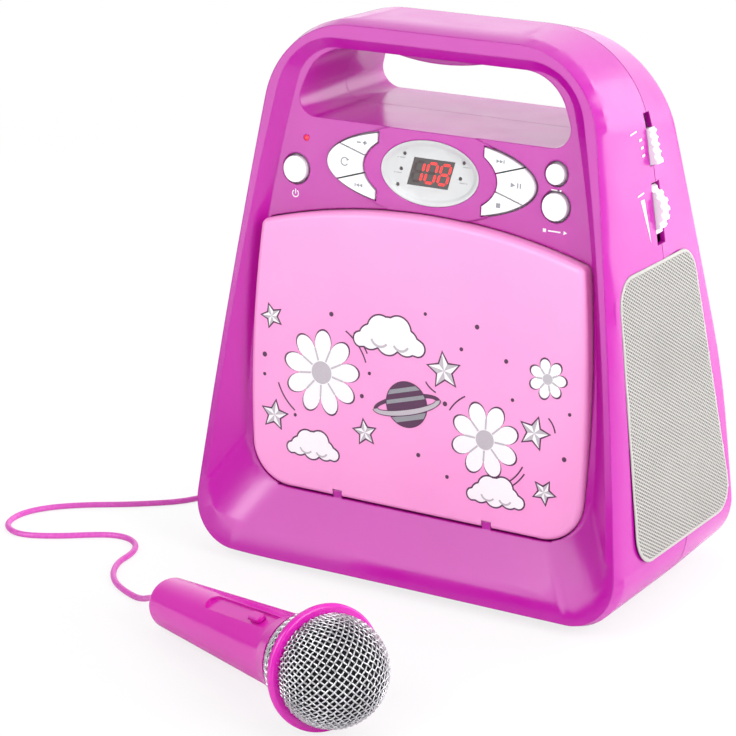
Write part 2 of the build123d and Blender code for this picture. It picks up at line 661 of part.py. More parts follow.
def make_front_shell():
    hollow = front_form(WALL, past=1.0) - tunnel(WALL) - recess(WALL)
    form = front_form()
    face = form.faces().filter_by(lambda f: abs(f.normal_at().Y) > 0.9).sort_by(Axis.Y)[0]
    form = chamfer(face.outer_wire().edges(), BEVEL_DEPTH, BEVEL_WIDTH, reference=face)
    pads = both_sides(baffle()) & front_form()
    collar = between(FLOOR, oval(COLLAR_HALF_WIDTH, COLLAR_HALF_HEIGHT), -WALL, 0.9)
    shell = form - hollow - recess() - tunnel() + pads + grip()
    shell &= Pos(0, -FAR / 2, 0) * Box(2 * FAR, FAR, 2 * FAR)
    shell += collar - between(FLOOR, door_outline(DOOR_GAP), -DOOR_SKIRT - 1, 20)
    shell -= both_sides(grille_pocket() + speaker_room())
    shell -= between(FLOOR, door_outline(DOOR_GAP), -WALL - 0.5, 20)
    # bosses for the screws that hold the two shells together
    shell += both_sides(front_bosses()) & (front_form(WALL / 2) - recess(WALL / 2))
    for x, z in boss_places():
        shell -= rod((x, 1, z), (x, -SCREW_BITE - 3, z), PILOT_RADIUS)
    shell -= tunnel()
    shell += grip() & Pos(0, -FAR / 2, 0) * Box(FAR, FAR, 2 * FAR)
    shell -= hinge_channel()
    # ears that carry the door's hinge pins
    for side in (-1, 1):
        ear = hinge_rod(side * EAR_X, EAR_WIDTH, EAR_RADIUS)
        ear += slab(side * EAR_X, HINGE_Y, HINGE_Z - 4, (EAR_WIDTH, 2 * EAR_RADIUS, 8))
        shell += ear - hinge_pin(side)
    for x, height in KEY_BOARD_POSTS:
        shell += between(FLOOR, Pos(x, height) * Circle(KEY_POST_RADIUS), -KEY_BOARD_DEPTH, -WALL + 0.5)
    # openings for the keys, the display and the lamp
    for side in (-1, 1):
        shell -= between(FLOOR, crescent(side, KEY_GAP), -WALL - 1, 4)
    for x, height, radius in ROUND_KEYS.values():
        shell -= between(FLOOR, Pos(x, height) * Circle(radius + KEY_GAP), -WALL - 1, 4)
        shell -= between(FLOOR, Pos(x, height) * Circle(radius + ROUND_DISH), -0.8, 4)
    shell -= between(FLOOR, oval(OVAL_HALF_WIDTH, OVAL_HALF_HEIGHT), -WALL - 1, 4)
    shell -= between(FLOOR, Pos(*POWER_LED_SPOT) * Circle(POWER_LED_RADIUS), -WALL - 1, 4)
    return shell - wheel_slot() - slider_slot() - seam()


def make_rear_shell():
    form = rear_form()
    rim = [edge for edge in form.edges()
           if edge.center().Y > back_y(edge.center().Z) - 3 and edge.geom_type != GeomType.LINE]
    form = fillet(rim, BACK_EDGE)
    hollow = rear_form(WALL, past=1.0) - tunnel(WALL)
    pads = both_sides(baffle()) & rear_form()
    shell = form - hollow - tunnel() + pads
    shell &= Pos(0, FAR / 2, 0) * Box(2 * FAR, FAR, 2 * FAR)
    shell += grip() & Pos(0, FAR / 2, 0) * Box(FAR, FAR, 2 * FAR)
    shell -= both_sides(grille_pocket() + speaker_room())
    for x, z in boss_places():
        boss = rod((x, 0, z), (x, back_y(z) - 1, z), BOSS_RADIUS)
        shell += boss & rear_form(WALL / 2)
        shell -= rod((x, -1, z), (x, SCREW_SEAT + 1, z), SCREW_SHANK + 0.3)
        shell -= rod((x, SCREW_SEAT, z), (x, FAR / 4, z), HEAD_WELL)
    # battery bay with its ledge, open to the back
    height = BAY_HIGH - BAY_LOW
    middle = (BAY_LOW + BAY_HIGH) / 2
    inner_y = bay_floor_y()
    forward = (Align.CENTER, Align.MIN, Align.CENTER)
    bay_size = (2 * (BAY_HALF + BAY_WALL), BACK_DEPTH - inner_y + BAY_WALL - 0.1, height + 2 * BAY_WALL)
    shell += Pos(0, inner_y - BAY_WALL, middle) * Box(*bay_size, align=forward)
    shell -= Pos(0, inner_y, middle) * Box(2 * BAY_HALF, BAY_DEPTH, height, align=forward)
    shell -= upright(BACK_DEPTH + 1) * extrude(hatch_block(-BAY_LEDGE), HATCH_THICK + LEDGE_THICK + 2)
    shell -= upright(BACK_DEPTH + 1) * extrude(hatch_block(HATCH_GAP), HATCH_THICK + 1)
    # posts for the boards, openings for the sockets and slots that let warm air out
    for x, z, start, radius in board_posts():
        shell += rod((x, start, z), (x, back_y(z) - 1, z), radius) & rear_form(WALL / 2)
    for z in JACK_HEIGHTS:
        shell -= rod((JACK_X, BACK_DEPTH - 12, z), (JACK_X, BACK_DEPTH + 2, z), JACK_NOSE + 0.1)
    dc_x, dc_z = DC_SPOT
    shell -= rod((dc_x, BACK_DEPTH - 12, dc_z), (dc_x, BACK_DEPTH + 2, dc_z), DC_NOSE + 0.1)
    shell -= slab(USB_SPOT[0], BACK_DEPTH, USB_SPOT[1], (USB_FACE[0] + 0.4, 12, USB_FACE[1] + 0.4))
    for row in range(VENT_ROWS):
        z = VENT_LOW + row * VENT_PITCH
        for x in (-VENT_SPREAD, 0, VENT_SPREAD):
            slot = upright(back_y(z) + 6) * Pos(x, z) * extrude(SlotOverall(VENT_LENGTH, VENT_WIDTH), 14)
            shell -= slot
    return shell - wheel_slot() - slider_slot() - seam()


# ---------------------------------------------------------------- door
def make_door():
    """Hollow door with a crowned face; its lower edge is a round bar with notches for the shell's ears."""
    block = between(FLOOR, door_outline(), -DOOR_SKIRT, 20) & door_face()
    face = block.faces().filter_by(lambda f: f.normal_at().Y < -0.9).sort_by(Axis.Y)[0]
    block = fillet(face.outer_wire().edges(), DOOR_EDGE)
    block -= between(FLOOR, door_outline(-DOOR_WALL), -DOOR_SKIRT - 1, 20) & door_face(DOOR_WALL)
    block -= slab(0, HINGE_Y, HINGE_Z - BARREL_RADIUS, (2 * BAR_HALF, 20, 2 * BARREL_RADIUS))
    door = block + hinge_bar()
    for side in (-1, 1):
        door -= hinge_rod(side * EAR_X, EAR_WIDTH + 2 * EAR_GAP, BARREL_RADIUS + EAR_GAP / 2)
        door -= hinge_pin(side, RUNNING)
    return door


def make_hinge_pins():
    return both_sides(hinge_pin(1))


# ---------------------------------------------------------------- display and boards
def window_face(grow=0.0):
    half, tall, slant = WINDOW_WIDTH / 2 + grow, WINDOW_HEIGHT / 2 + grow, WINDOW_SLANT / 2
    corners = [(-half - slant, -tall), (half - slant, -tall), (half + slant, tall), (-half + slant, tall)]
    return Pos(OVAL_X, OVAL_HEIGHT) * make_face(Polyline(*corners, close=True))


def led_places():
    return [(OVAL_X + x, OVAL_HEIGHT + height) for x, height in LED_SPOTS]


def make_display_fascia():
    """Dished oval plate with a flange behind the panel."""
    face = oval(OVAL_HALF_WIDTH - 0.15, OVAL_HALF_HEIGHT - 0.15)
    plate = between(FLOOR, face, -WALL - FLANGE_THICK, OVAL_PROUD)
    flange = oval(OVAL_HALF_WIDTH + FASCIA_FLANGE, OVAL_HALF_HEIGHT + FASCIA_FLANGE)
    plate += between(FLOOR, flange, -WALL - FLANGE_THICK, -WALL)
    dish = loft([FLOOR * Pos(0, 0, OVAL_PROUD + 0.01) * oval(OVAL_HALF_WIDTH - 1.2, OVAL_HALF_HEIGHT - 1.2),
                 FLOOR * Pos(0, 0, OVAL_PROUD - DISH_DEPTH)
                 * oval(OVAL_HALF_WIDTH - 3.6, OVAL_HALF_HEIGHT - 3.6)])
    plate -= dish
    plate -= between(FLOOR, window_face(0.1), -10, 5)
    for x, height in led_places():
        plate -= between(FLOOR, Pos(x, height) * Circle(LED_RADIUS + 0.1), -10, 5)
    return plate


def make_display_window():
    front = OVAL_PROUD - DISH_DEPTH - 0.3
    window = between(FLOOR, window_face(), front - 2.0, front)
    return window + between(FLOOR, window_face(1.0), -WALL - FLANGE_THICK - 1.0, -WALL - FLANGE_THICK) \
        + between(FLOOR, window_face(-0.5), -WALL - FLANGE_THICK, front - 2.0)


def make_digit_module():
    top = -WALL - FLANGE_THICK - 1.3
    body = between(FLOOR, window_face(-0.5), -KEY_BOARD_DEPTH, top)
    return body


def led(x, height, tip, radius):
    stem = between(FLOOR, Pos(x, height) * Circle(radius), -KEY_BOARD_DEPTH, tip - radius)
    return stem + FLOOR * Pos(x, height, tip - radius) * Sphere(radius)


def make_indicator_leds():
    tip = OVAL_PROUD - DISH_DEPTH + 0.4
    return Part() + [led(x, height, tip, LED_RADIUS) for x, height in led_places()]


def make_power_led():
    return led(*POWER_LED_SPOT, 0.9, POWER_LED_RADIUS)


def make_key_board():
    width, height, thick = KEY_BOARD_SIZE
    board = Pos(0, KEY_BOARD_HEIGHT) * Rectangle(width, height)
    corners = board.vertices()
    return between(FLOOR, fillet(corners, 2.0), -KEY_BOARD_DEPTH - thick, -KEY_BOARD_DEPTH)


def make_key_switches(keys):
    switches = []
    for _, _, _, (x, height) in keys:
        body = between(FLOOR, Pos(x, height) * Rectangle(SWITCH_SIZE, SWITCH_SIZE), -KEY_BOARD_DEPTH,
                       -KEY_BOARD_DEPTH + SWITCH_HEIGHT)
        switches.append(body + between(FLOOR, Pos(x, height) * Circle(PLUNGER_RADIUS), -KEY_BOARD_DEPTH,
                                       -KEY_BOARD_DEPTH + SWITCH_HEIGHT + PLUNGER_PROUD))
    return Part() + switches


def make_main_board():
    """Circuit board with the amplifier's heat sink, its large capacitors and plug rows."""
    width, thick, height = MAIN_BOARD_SIZE
    board = slab(0, MAIN_BOARD_Y + thick / 2, MAIN_BOARD_Z, MAIN_BOARD_SIZE)
    sink = slab(30, MAIN_BOARD_Y - 2, MAIN_BOARD_Z + 22, (34, 4, 16))
    for fin in range(SINK_FINS):
        sink += slab(30 - 15 + fin * 30 / (SINK_FINS - 1), MAIN_BOARD_Y - 7, MAIN_BOARD_Z + 22, (1.4, 10, 16))
    board += sink
    for x, z, radius, length in ((-38, 20, 6, 16), (-22, 20, 5, 14), (-38, -2, 5, 12)):
        z += MAIN_BOARD_Z
        board += rod((x, MAIN_BOARD_Y + 0.5, z), (x, MAIN_BOARD_Y - length, z), radius)
    for x in (-30, -4, 22):
        board += slab(x, MAIN_BOARD_Y - 4, MAIN_BOARD_Z - 30, (16, 8, 6))
    return board + slab(2, MAIN_BOARD_Y - 0.8, MAIN_BOARD_Z - 6, (18, 1.6, 18))


# ---------------------------------------------------------------- disc well and drive
def deck_rod(start, end, radius):
    """Cylinder between two places given across, up and out from the disc's middle on the recessed face."""
    places = [on_floor(x, DISC_HEIGHT + up, ahead).position for x, up, ahead in (start, end)]
    return rod(places[0], places[1], radius)


def deck_box(x, up, ahead, size):
    return on_floor(x, DISC_HEIGHT + up, ahead) * Box(*size)


def make_well():
    """Tub behind the door: a flange on the shell, a round pocket for the disc and finger notches."""
    well = between(FLOOR, door_outline(WELL_LIP), -WELL_FRONT - WELL_THICK, -WELL_FRONT)
    well += between(FLOOR, door_outline(WELL_LIP) - door_outline(DOOR_GAP + 0.3), -WELL_FRONT - 1, -WALL)
    middle = Pos(0, DISC_HEIGHT)
    notches = [middle * Pos(side * (POCKET_RADIUS - 5), 0) for side in (-1, 1)]
    cup = middle * Circle(POCKET_RADIUS + WELL_THICK)
    hollow = middle * Circle(POCKET_RADIUS)
    for notch in notches:
        cup += notch * Circle(NOTCH_RADIUS + WELL_THICK)
        hollow += notch * Circle(NOTCH_RADIUS)
    well += between(FLOOR, cup, -POCKET_DEPTH - WELL_THICK, -WELL_FRONT - 0.5)
    well -= between(FLOOR, hollow, -POCKET_DEPTH, 5)
    well -= between(FLOOR, middle * Circle(HUB_HOLE), -20, 5)
    start, end, half = LENS_SLOT
    slot = middle * Pos((start + end) / 2, 0) * SlotOverall(end - start, 2 * half)
    well -= between(FLOOR, slot, -20, 5)
    for side in (-1, 1):
        well -= slab(side * EAR_X, HINGE_Y + 2, HINGE_Z - 4, (EAR_WIDTH + 1, 10, 10))
    return well - hinge_channel()


def make_hub():
    """Turntable, centring nose and shaft, one moulding on the motor's shaft."""
    low = -TABLE_DEPTH - TABLE_THICK
    hub = deck_rod((0, 0, low), (0, 0, -TABLE_DEPTH), TABLE_RADIUS)
    nose = deck_rod((0, 0, -TABLE_DEPTH), (0, 0, -TABLE_DEPTH + HUB_LENGTH), HUB_RADIUS)
    tip = nose.faces().sort_by(Axis.Y)[0]
    hub += chamfer(tip.edges(), 0.9)
    hub += deck_rod((0, 0, -DECK_DEPTH + 1.5), (0, 0, low), STEM_OF_HUB)
    return hub + deck_rod((0, 0, -DECK_DEPTH - DECK_THICK - MOTOR_LENGTH + 2), (0, 0, low), SHAFT_RADIUS)


def make_motor():
    back = -DECK_DEPTH - DECK_THICK
    can = deck_rod((0, 0, back), (0, 0, back - MOTOR_LENGTH), MOTOR_RADIUS)
    can = fillet(can.edges().sort_by(Axis.Y)[-1], 1.0)
    return can - deck_rod((0, 0, back + 1), (0, 0, back - MOTOR_LENGTH + 1), SHAFT_RADIUS + RUNNING)


def make_deck_plate():
    start, end = DECK_SPAN
    face = Pos((start + end) / 2, DISC_HEIGHT) * Rectangle(end - start, 2 * DECK_HALF)
    face = fillet(face.vertices(), 5.0)
    face -= Pos(0, DISC_HEIGHT) * Circle(STEM_OF_HUB + 1.5)
    plate = between(FLOOR, face, -DECK_DEPTH - DECK_THICK, -DECK_DEPTH)
    tall = DECK_DEPTH - ROD_DEPTH + 2.6
    ahead = -DECK_DEPTH + tall / 2
    left, right = ROD_SPAN[0] + POST_THICK / 2, ROD_SPAN[1] - POST_THICK / 2
    for up in (ROD_SPREAD, -ROD_SPREAD):
        for x in (left, right):
            plate += deck_box(x, up, ahead, (POST_THICK, 2 * POST_HALF, tall))
        plate -= deck_rod((ROD_SPAN[0] - 1, up, -ROD_DEPTH), (ROD_SPAN[1] + 1, up, -ROD_DEPTH), ROD_RADIUS)
    plate += deck_box(right, SCREW_SPREAD, ahead, (POST_THICK, 2 * POST_HALF, tall))
    screw_line = ((SCREW_START, SCREW_SPREAD, -ROD_DEPTH), (ROD_SPAN[1] + 1, SCREW_SPREAD, -ROD_DEPTH))
    return plate - deck_rod(*screw_line, SCREW_RADIUS + RUNNING)


def make_dampers():
    low, high = -DECK_DEPTH, -POCKET_DEPTH - WELL_THICK
    rings = [deck_rod((x, up, low), (x, up, high), DAMPER_RADIUS) for x, up in DAMPER_SPOTS]
    return Part() + rings


def make_guide_rods():
    start, end = ROD_SPAN
    return Part() + [deck_rod((start, up, -ROD_DEPTH), (end, up, -ROD_DEPTH), ROD_RADIUS)
                     for up in (ROD_SPREAD, -ROD_SPREAD)]


def sled_front():
    return -ROD_DEPTH + SLED_SIZE[2] / 2 + 0.2


def make_sled():
    sled = deck_box(SLED_START, 0, -ROD_DEPTH + 0.2, SLED_SIZE)
    sled = fillet(sled.edges().filter_by(lambda e: abs(e.tangent_at(0.5).Y) > 0.9), 2.0)
    for up in (ROD_SPREAD, -ROD_SPREAD, SCREW_SPREAD):
        sled -= deck_rod((0, up, -ROD_DEPTH), (60, up, -ROD_DEPTH), ROD_RADIUS + RUNNING)
    return sled


def make_lens():
    foot = sled_front()
    mount = deck_rod((SLED_START, 0, foot), (SLED_START, 0, foot + 0.8), LENS_RADIUS + 1.6)
    dome = Sphere(LENS_DOME) & Pos(0, 0, LENS_DOME - 0.7) * Cylinder(LENS_RADIUS, 1.4)
    return mount + on_floor(SLED_START, DISC_HEIGHT, foot + 0.8 + 1.1 - LENS_DOME) * dome


def make_feed_screw():
    ends = (SCREW_START - 2, ROD_SPAN[1])
    screw = deck_rod((ends[0], SCREW_SPREAD, -ROD_DEPTH), (ends[1], SCREW_SPREAD, -ROD_DEPTH), SCREW_RADIUS)
    return screw


def make_feed_motor():
    start = SCREW_START - FEED_MOTOR_LENGTH
    across, depth = SCREW_SPREAD, -ROD_DEPTH
    can = deck_rod((start, across, depth), (SCREW_START, across, depth), FEED_MOTOR_RADIUS)
    hole = SCREW_RADIUS + RUNNING
    can -= deck_rod((SCREW_START - 2.5, across, depth), (SCREW_START + 1, across, depth), hole)
    return can + deck_box(start + FEED_MOTOR_LENGTH / 2, SCREW_SPREAD, -DECK_DEPTH + 0.5, (8, 5, 1.0))


# ---------------------------------------------------------------- speakers
def ring_face(outer, inner):
    return Pos(SPEAKER_Y, 0) * (Circle(outer) - Circle(inner))


def disc_face(radius):
    return Pos(SPEAKER_Y, 0) * Circle(radius)


def shell_of_cone(front_radius, back_radius, front, back, thick):
    """Open cone about the speaker's axis, in the side's frame."""
    outer = loft([SIDE * Pos(0, 0, front) * disc_face(front_radius),
                  SIDE * Pos(0, 0, back) * disc_face(back_radius)])
    inner = loft([SIDE * Pos(0, 0, front) * disc_face(front_radius - thick),
                  SIDE * Pos(0, 0, back) * disc_face(back_radius - thick)])
    return outer - inner


def basket_front():
    return -GRILLE_THICK - BAFFLE


def make_basket():
    front = basket_front()
    back = front - SPEAKER_RIM - BASKET_DEPTH
    rim = between(SIDE, ring_face(SPEAKER_FLANGE, SPEAKER_OPENING), front - SPEAKER_RIM, front)
    cone = shell_of_cone(SPEAKER_OPENING + 2.2, BASKET_BACK, front - SPEAKER_RIM + 0.01, back, 1.4)
    window = SIDE * Pos(SPEAKER_Y, 0, front - SPEAKER_RIM - BASKET_DEPTH / 2) * Box(16, 2 * FAR / 4, 9)
    cone -= window
    cone -= SIDE * Pos(SPEAKER_Y, 0, front - SPEAKER_RIM - BASKET_DEPTH / 2) * Box(2 * FAR / 4, 16, 9)
    return rim + cone + between(SIDE, ring_face(BASKET_BACK, 6), back - 1.4, back)


def make_magnet():
    back = basket_front() - SPEAKER_RIM - BASKET_DEPTH - 1.4
    return between(SIDE, disc_face(MAGNET_RADIUS), back - MAGNET_THICK, back)


def make_cone():
    front = basket_front() - 0.2
    depth = BASKET_DEPTH - 6
    cone = shell_of_cone(SPEAKER_OPENING - 0.4, CONE_BACK, front, front - depth, 0.8)
    cap = SIDE * Pos(SPEAKER_Y, 0, front - depth - 2) * Sphere(CONE_BACK)
    cap &= between(SIDE, disc_face(CONE_BACK), front - depth, front + 5)
    coil = between(SIDE, disc_face(CONE_BACK - 2), front - BASKET_DEPTH - SPEAKER_RIM + 0.2, front - depth)
    return cone + cap + coil


def make_grille():
    return between(SIDE, grille_face(), -GRILLE_THICK, 0)


# ---------------------------------------------------------------- side controls
def wheel_x():
    return side_half_width(WHEEL_Z) - WHEEL_RADIUS + WHEEL_PROUD


def make_volume_wheel():
    """Thumbwheel with rounded lobes on its rim, and its shaft."""
    face = Circle(WHEEL_RADIUS)
    for lobe in range(WHEEL_LOBES):
        turn = Rot(0, 0, 360 * lobe / WHEEL_LOBES)
        face -= turn * Pos(WHEEL_RADIUS + 0.4, 0) * Circle(LOBE_DEPTH + 0.4)
    wheel = upright(WHEEL_WIDTH / 2) * Pos(wheel_x(), WHEEL_Z) * extrude(face, WHEEL_WIDTH)
    return wheel + rod((wheel_x(), 0, WHEEL_Z), (wheel_x(), POT_Y + 3.5, WHEEL_Z), POT_SHAFT)


def make_volume_pot():
    width, depth, height = POT_SIZE
    pot = slab(wheel_x(), POT_Y + depth / 2, WHEEL_Z, (width, depth, height))
    return pot - rod((wheel_x(), POT_Y - 1, WHEEL_Z), (wheel_x(), POT_Y + 4, WHEEL_Z), POT_SHAFT + RUNNING)


def make_function_knob():
    """Ridged slide knob, at the low end of its slot."""
    middle = -SLIDER_TRAVEL / 2
    knob = Pos(0, middle, SLIDER_PROUD - 4) * Box(SLIDER_WIDTH, SLIDER_LENGTH, 8)
    for ridge in range(SLIDER_RIDGES):
        at = middle + (ridge - SLIDER_RIDGES / 2 + 1) * SLIDER_LENGTH / SLIDER_RIDGES
        knob -= Pos(0, at, SLIDER_PROUD + 0.6) * Rot(0, 90, 0) * Cylinder(1.5, 20)
    return SLIDER * knob


def make_function_switch():
    thick, _, length = SWITCH_BODY
    front = SLIDER_PROUD - 8 - SLIDER_GAP
    body = Pos(0, 0, front - thick / 2) * Box(9, length, thick)
    legs = Pos(SIDE_BOARD_Y / 2, 0, front - thick / 2) * Box(SIDE_BOARD_Y, length - 6, thick - 2)
    return (SLIDER * (body + legs)) & Pos(0, SIDE_BOARD_Y - FAR / 2, 0) * Box(2 * FAR, FAR, 2 * FAR)


def make_side_board():
    return slab(SIDE_BOARD_X, SIDE_BOARD_Y + SIDE_BOARD_SIZE[1] / 2, SIDE_BOARD_Z, SIDE_BOARD_SIZE)


# ---------------------------------------------------------------- back
def make_hatch():
    hatch = upright(BACK_DEPTH) * extrude(hatch_block(), HATCH_THICK)
    hatch -= Pos(0, BACK_DEPTH + 1.2, BAY_HIGH - 4.5) * Box(22, 4, 5)
    for side in (-1, 1):
        hatch += slab(side * 45, BACK_DEPTH - HATCH_THICK - 1.5, BAY_LOW + BAY_LEDGE + 1.5, (10, 3, 2))
    return hatch


def make_contacts():
    inner = bay_floor_y() + BAY_DEPTH / 2
    plates = []
    for side in (-1, 1):
        for z in (BAY_LOW + 14, BAY_HIGH - 14):
            plate = slab(side * (BAY_HALF - CONTACT_SIZE[0] / 2), inner, z, CONTACT_SIZE)
            dome = Pos(side * (BAY_HALF - CONTACT_SIZE[0]), inner, z) * Sphere(3.0)
            dome &= slab(side * (BAY_HALF - CONTACT_SIZE[0] - 1), inner, z, (2, 8, 8))
            plates.append(plate + dome)
    return Part() + plates


def socket(x, z, nose, bore, size, depth):
    """Round socket behind the back wall with its nose through it."""
    body = slab(x, BACK_DEPTH - WALL - size[1] / 2, z, size)
    body += rod((x, BACK_DEPTH - WALL - 1, z), (x, BACK_DEPTH + 0.4, z), nose)
    return body - rod((x, BACK_DEPTH - depth, z), (x, BACK_DEPTH + 1, z), bore)


def make_mic_sockets():
    return Part() + [socket(JACK_X, z, JACK_NOSE, JACK_RADIUS, JACK_BODY, JACK_BODY[1]) for z in JACK_HEIGHTS]


def make_dc_socket():
    jack = socket(*DC_SPOT, DC_NOSE, DC_BORE, (10, 12, 11), 10)
    x, z = DC_SPOT
    return jack + rod((x, BACK_DEPTH - 11, z), (x, BACK_DEPTH - 1, z), DC_PIN)


def make_usb_socket():
    x, z = USB_SPOT
    body = slab(x, BACK_DEPTH - USB_DEPTH / 2, z, (USB_FACE[0], USB_DEPTH, USB_FACE[1]))
    body += slab(x, BACK_DEPTH - WALL - USB_FLANGE[1] / 2, z, USB_FLANGE)
    body -= slab(x, BACK_DEPTH - USB_DEPTH / 2 + 1.5, z, (USB_SLOT[0], USB_DEPTH, USB_SLOT[1]))
    return body + slab(x, BACK_DEPTH - USB_DEPTH / 2, z + 0.9, (USB_SLOT[0] - 1.6, USB_DEPTH - 2, 1.6))


def make_case_screws():
    screws = []
    for x, z in boss_places():
        shank = rod((x, -SCREW_BITE, z), (x, SCREW_SEAT + 0.1, z), SCREW_SHANK)
        screws.append(shank + rod((x, SCREW_SEAT, z), (x, SCREW_SEAT + SCREW_HEAD_THICK, z), SCREW_HEAD))
    return Part() + screws


def make_feet():
    spots = [(side * x, y) for x, y in FOOT_SPOTS for side in (-1, 1)]
    foot = Cylinder(FOOT_RADIUS, FOOT_HEIGHT, align=ON_BASE)
    foot = fillet(foot.edges().sort_by(Axis.Z)[0], 0.8)
    return Part() + [Pos(x, y, 0) * foot for x, y in spots]


# ---------------------------------------------------------------- microphone
MIC_AXIS = MIC_HEAD - MIC_TAIL
MIC_REACH = MIC_AXIS.length
MIC_UP = Vector(0, 0, 1) - MIC_AXIS * (MIC_AXIS.Z / MIC_AXIS.length**2)
MIC_FACING = MIC_UP.rotate(Axis((0, 0, 0), MIC_AXIS), MIC_TURN)
MIC = Plane(origin=MIC_TAIL, x_dir=MIC_FACING, z_dir=MIC_AXIS)
RING_AT = MIC_REACH - RING_BEHIND_HEAD
TAPER = degrees(asin((MIC_NECK_RADIUS - MIC_TAIL_RADIUS) / MIC_TAPER_END))


def turned(lines):
    """Solid of revolution about the microphone's axis, from lines in radius and length."""
    return revolve(Plane.XZ * make_face(lines), Axis.Z)


def polygon(*points):
    return Polyline(*points, close=True)


def handle_radius(at):
    return MIC_TAIL_RADIUS + (MIC_NECK_RADIUS - MIC_TAIL_RADIUS) * at / MIC_TAPER_END


def switch_flat():
    """Frame on the flat of the handle: x away from the axis, z along it."""
    at = MIC_SWITCH_AT
    return Pos(handle_radius(at) - MIC_FLAT_DEPTH, 0, at) * Rot(0, TAPER, 0)


def make_mic_body():
    outer = turned(polygon((0, 0), (MIC_TAIL_RADIUS, 0), (MIC_NECK_RADIUS, MIC_TAPER_END),
                           (MIC_FLARE_RADIUS, MIC_NECK), (0, MIC_NECK)))
    outer = fillet(outer.edges().sort_by(Axis.Z)[0], MIC_TAIL_ROUND)
    floor, bore = 3 * MIC_WALL, MIC_NECK_RADIUS - MIC_WALL
    inner = turned(polygon((0, floor), (handle_radius(floor) - MIC_WALL, floor), (bore, MIC_TAPER_END),
                           (bore, MIC_NECK + 1), (0, MIC_NECK + 1)))
    start, end = (at - MIC_SWITCH_AT for at in MIC_FLAT)
    half = MIC_FLAT_WIDTH / 2
    flat = Pos(2, 0, (start + half + end) / 2) * Box(4, MIC_FLAT_WIDTH, end - start - half)
    flat += Pos(2, 0, start + half) * Rot(0, 90, 0) * Cylinder(half, 4)
    slot = Box(12, 3.2, MIC_SWITCH_SIZE[1] - 3 + MIC_SWITCH_TRAVEL)
    body = outer - inner - switch_flat() * flat - switch_flat() * slot
    return MIC * (body - Pos(0, 0, -1) * Cylinder(GLAND_RADIUS - 0.5, 10, align=ON_BASE))


def make_mic_gland():
    return MIC * Pos(0, 0, -GLAND_LENGTH) * (Cylinder(GLAND_RADIUS - 0.5, GLAND_LENGTH + 6, align=ON_BASE)
                                             - Pos(0, 0, GLAND_LENGTH) * Cylinder(1.0, 10, align=ON_BASE))


def make_mic_switch_knob():
    width, length, height = MIC_SWITCH_SIZE
    rest = MIC_SWITCH_TRAVEL / 2
    knob = Pos(height / 2 + FACE_GAP / 2, 0, rest) * Box(height - FACE_GAP, width, length)
    knob = fillet(knob.edges().filter_by(lambda e: abs(e.tangent_at(0.5).X) > 0.9), 1.6)
    knob = fillet(knob.faces().sort_by(Axis.X)[-1].edges(), 0.7)
    stem = Pos(-0.9, 0, rest) * Box(4, 2.4, length - 4)
    return MIC * switch_flat() * (knob + stem)


def make_mic_mesh(front):
    """Half of the wire ball: the long rear basket, or the round front."""
    near, far = RING_AT - RING_THICK / 2, RING_AT + RING_THICK / 2
    if front:
        base = sqrt(MIC_BALL**2 - (far - MIC_REACH)**2)
        tip = MIC_REACH + MIC_BALL
        inside = MIC_BALL - MESH_THICK
        base_in = sqrt(inside**2 - (far - MIC_REACH)**2)
        out, into = MIC_BALL * cos(pi / 4), inside * cos(pi / 4)
        outer = ThreePointArc((base, far), (out, MIC_REACH + out), (0, tip))
        inner = ThreePointArc((0, tip - MESH_THICK), (into, MIC_REACH + into), (base_in, far))
        lines = [outer, Line((0, tip), (0, tip - MESH_THICK)), inner, Line((base_in, far), (base, far))]
    else:
        wide = sqrt(MIC_BALL**2 - (near - MIC_REACH)**2)
        start = BASKET_START_RADIUS
        mid_out = ((wide + start) / 2 + 2.2, (near + MIC_NECK) / 2)
        mid_in = (mid_out[0] - MESH_THICK, mid_out[1])
        outer = ThreePointArc((start, MIC_NECK), mid_out, (wide, near))
        inner = ThreePointArc((wide - MESH_THICK, near), mid_in, (start - MESH_THICK, MIC_NECK))
        lines = [outer, Line((wide, near), (wide - MESH_THICK, near)), inner,
                 Line((start - MESH_THICK, MIC_NECK), (start, MIC_NECK))]
    return MIC * turned(lines)


def make_mic_ring():
    near, far = RING_AT - RING_THICK / 2, RING_AT + RING_THICK / 2
    inside = MIC_BALL - 4.0
    ring = turned(polygon((inside, near), (RING_RADIUS, near), (RING_RADIUS, far), (inside, far)))
    rims = [edge for edge in ring.edges() if edge.length > 6.2 * RING_RADIUS]
    return MIC * fillet(rims, 1.6)


def make_mic_capsule():
    start, lip = MIC_NECK - 6, MIC_NECK + 1
    plug = MIC_NECK_RADIUS - MIC_WALL - 0.1
    shoulder = BASKET_START_RADIUS - MESH_THICK - 0.2
    end = lip + 3 + CAPSULE_LENGTH
    cup = turned(polygon((0, start), (plug, start), (plug, MIC_NECK), (shoulder, MIC_NECK), (shoulder, lip),
                         (CAPSULE_RADIUS, lip + 3), (CAPSULE_RADIUS, end), (0, end)))
    return MIC * cup


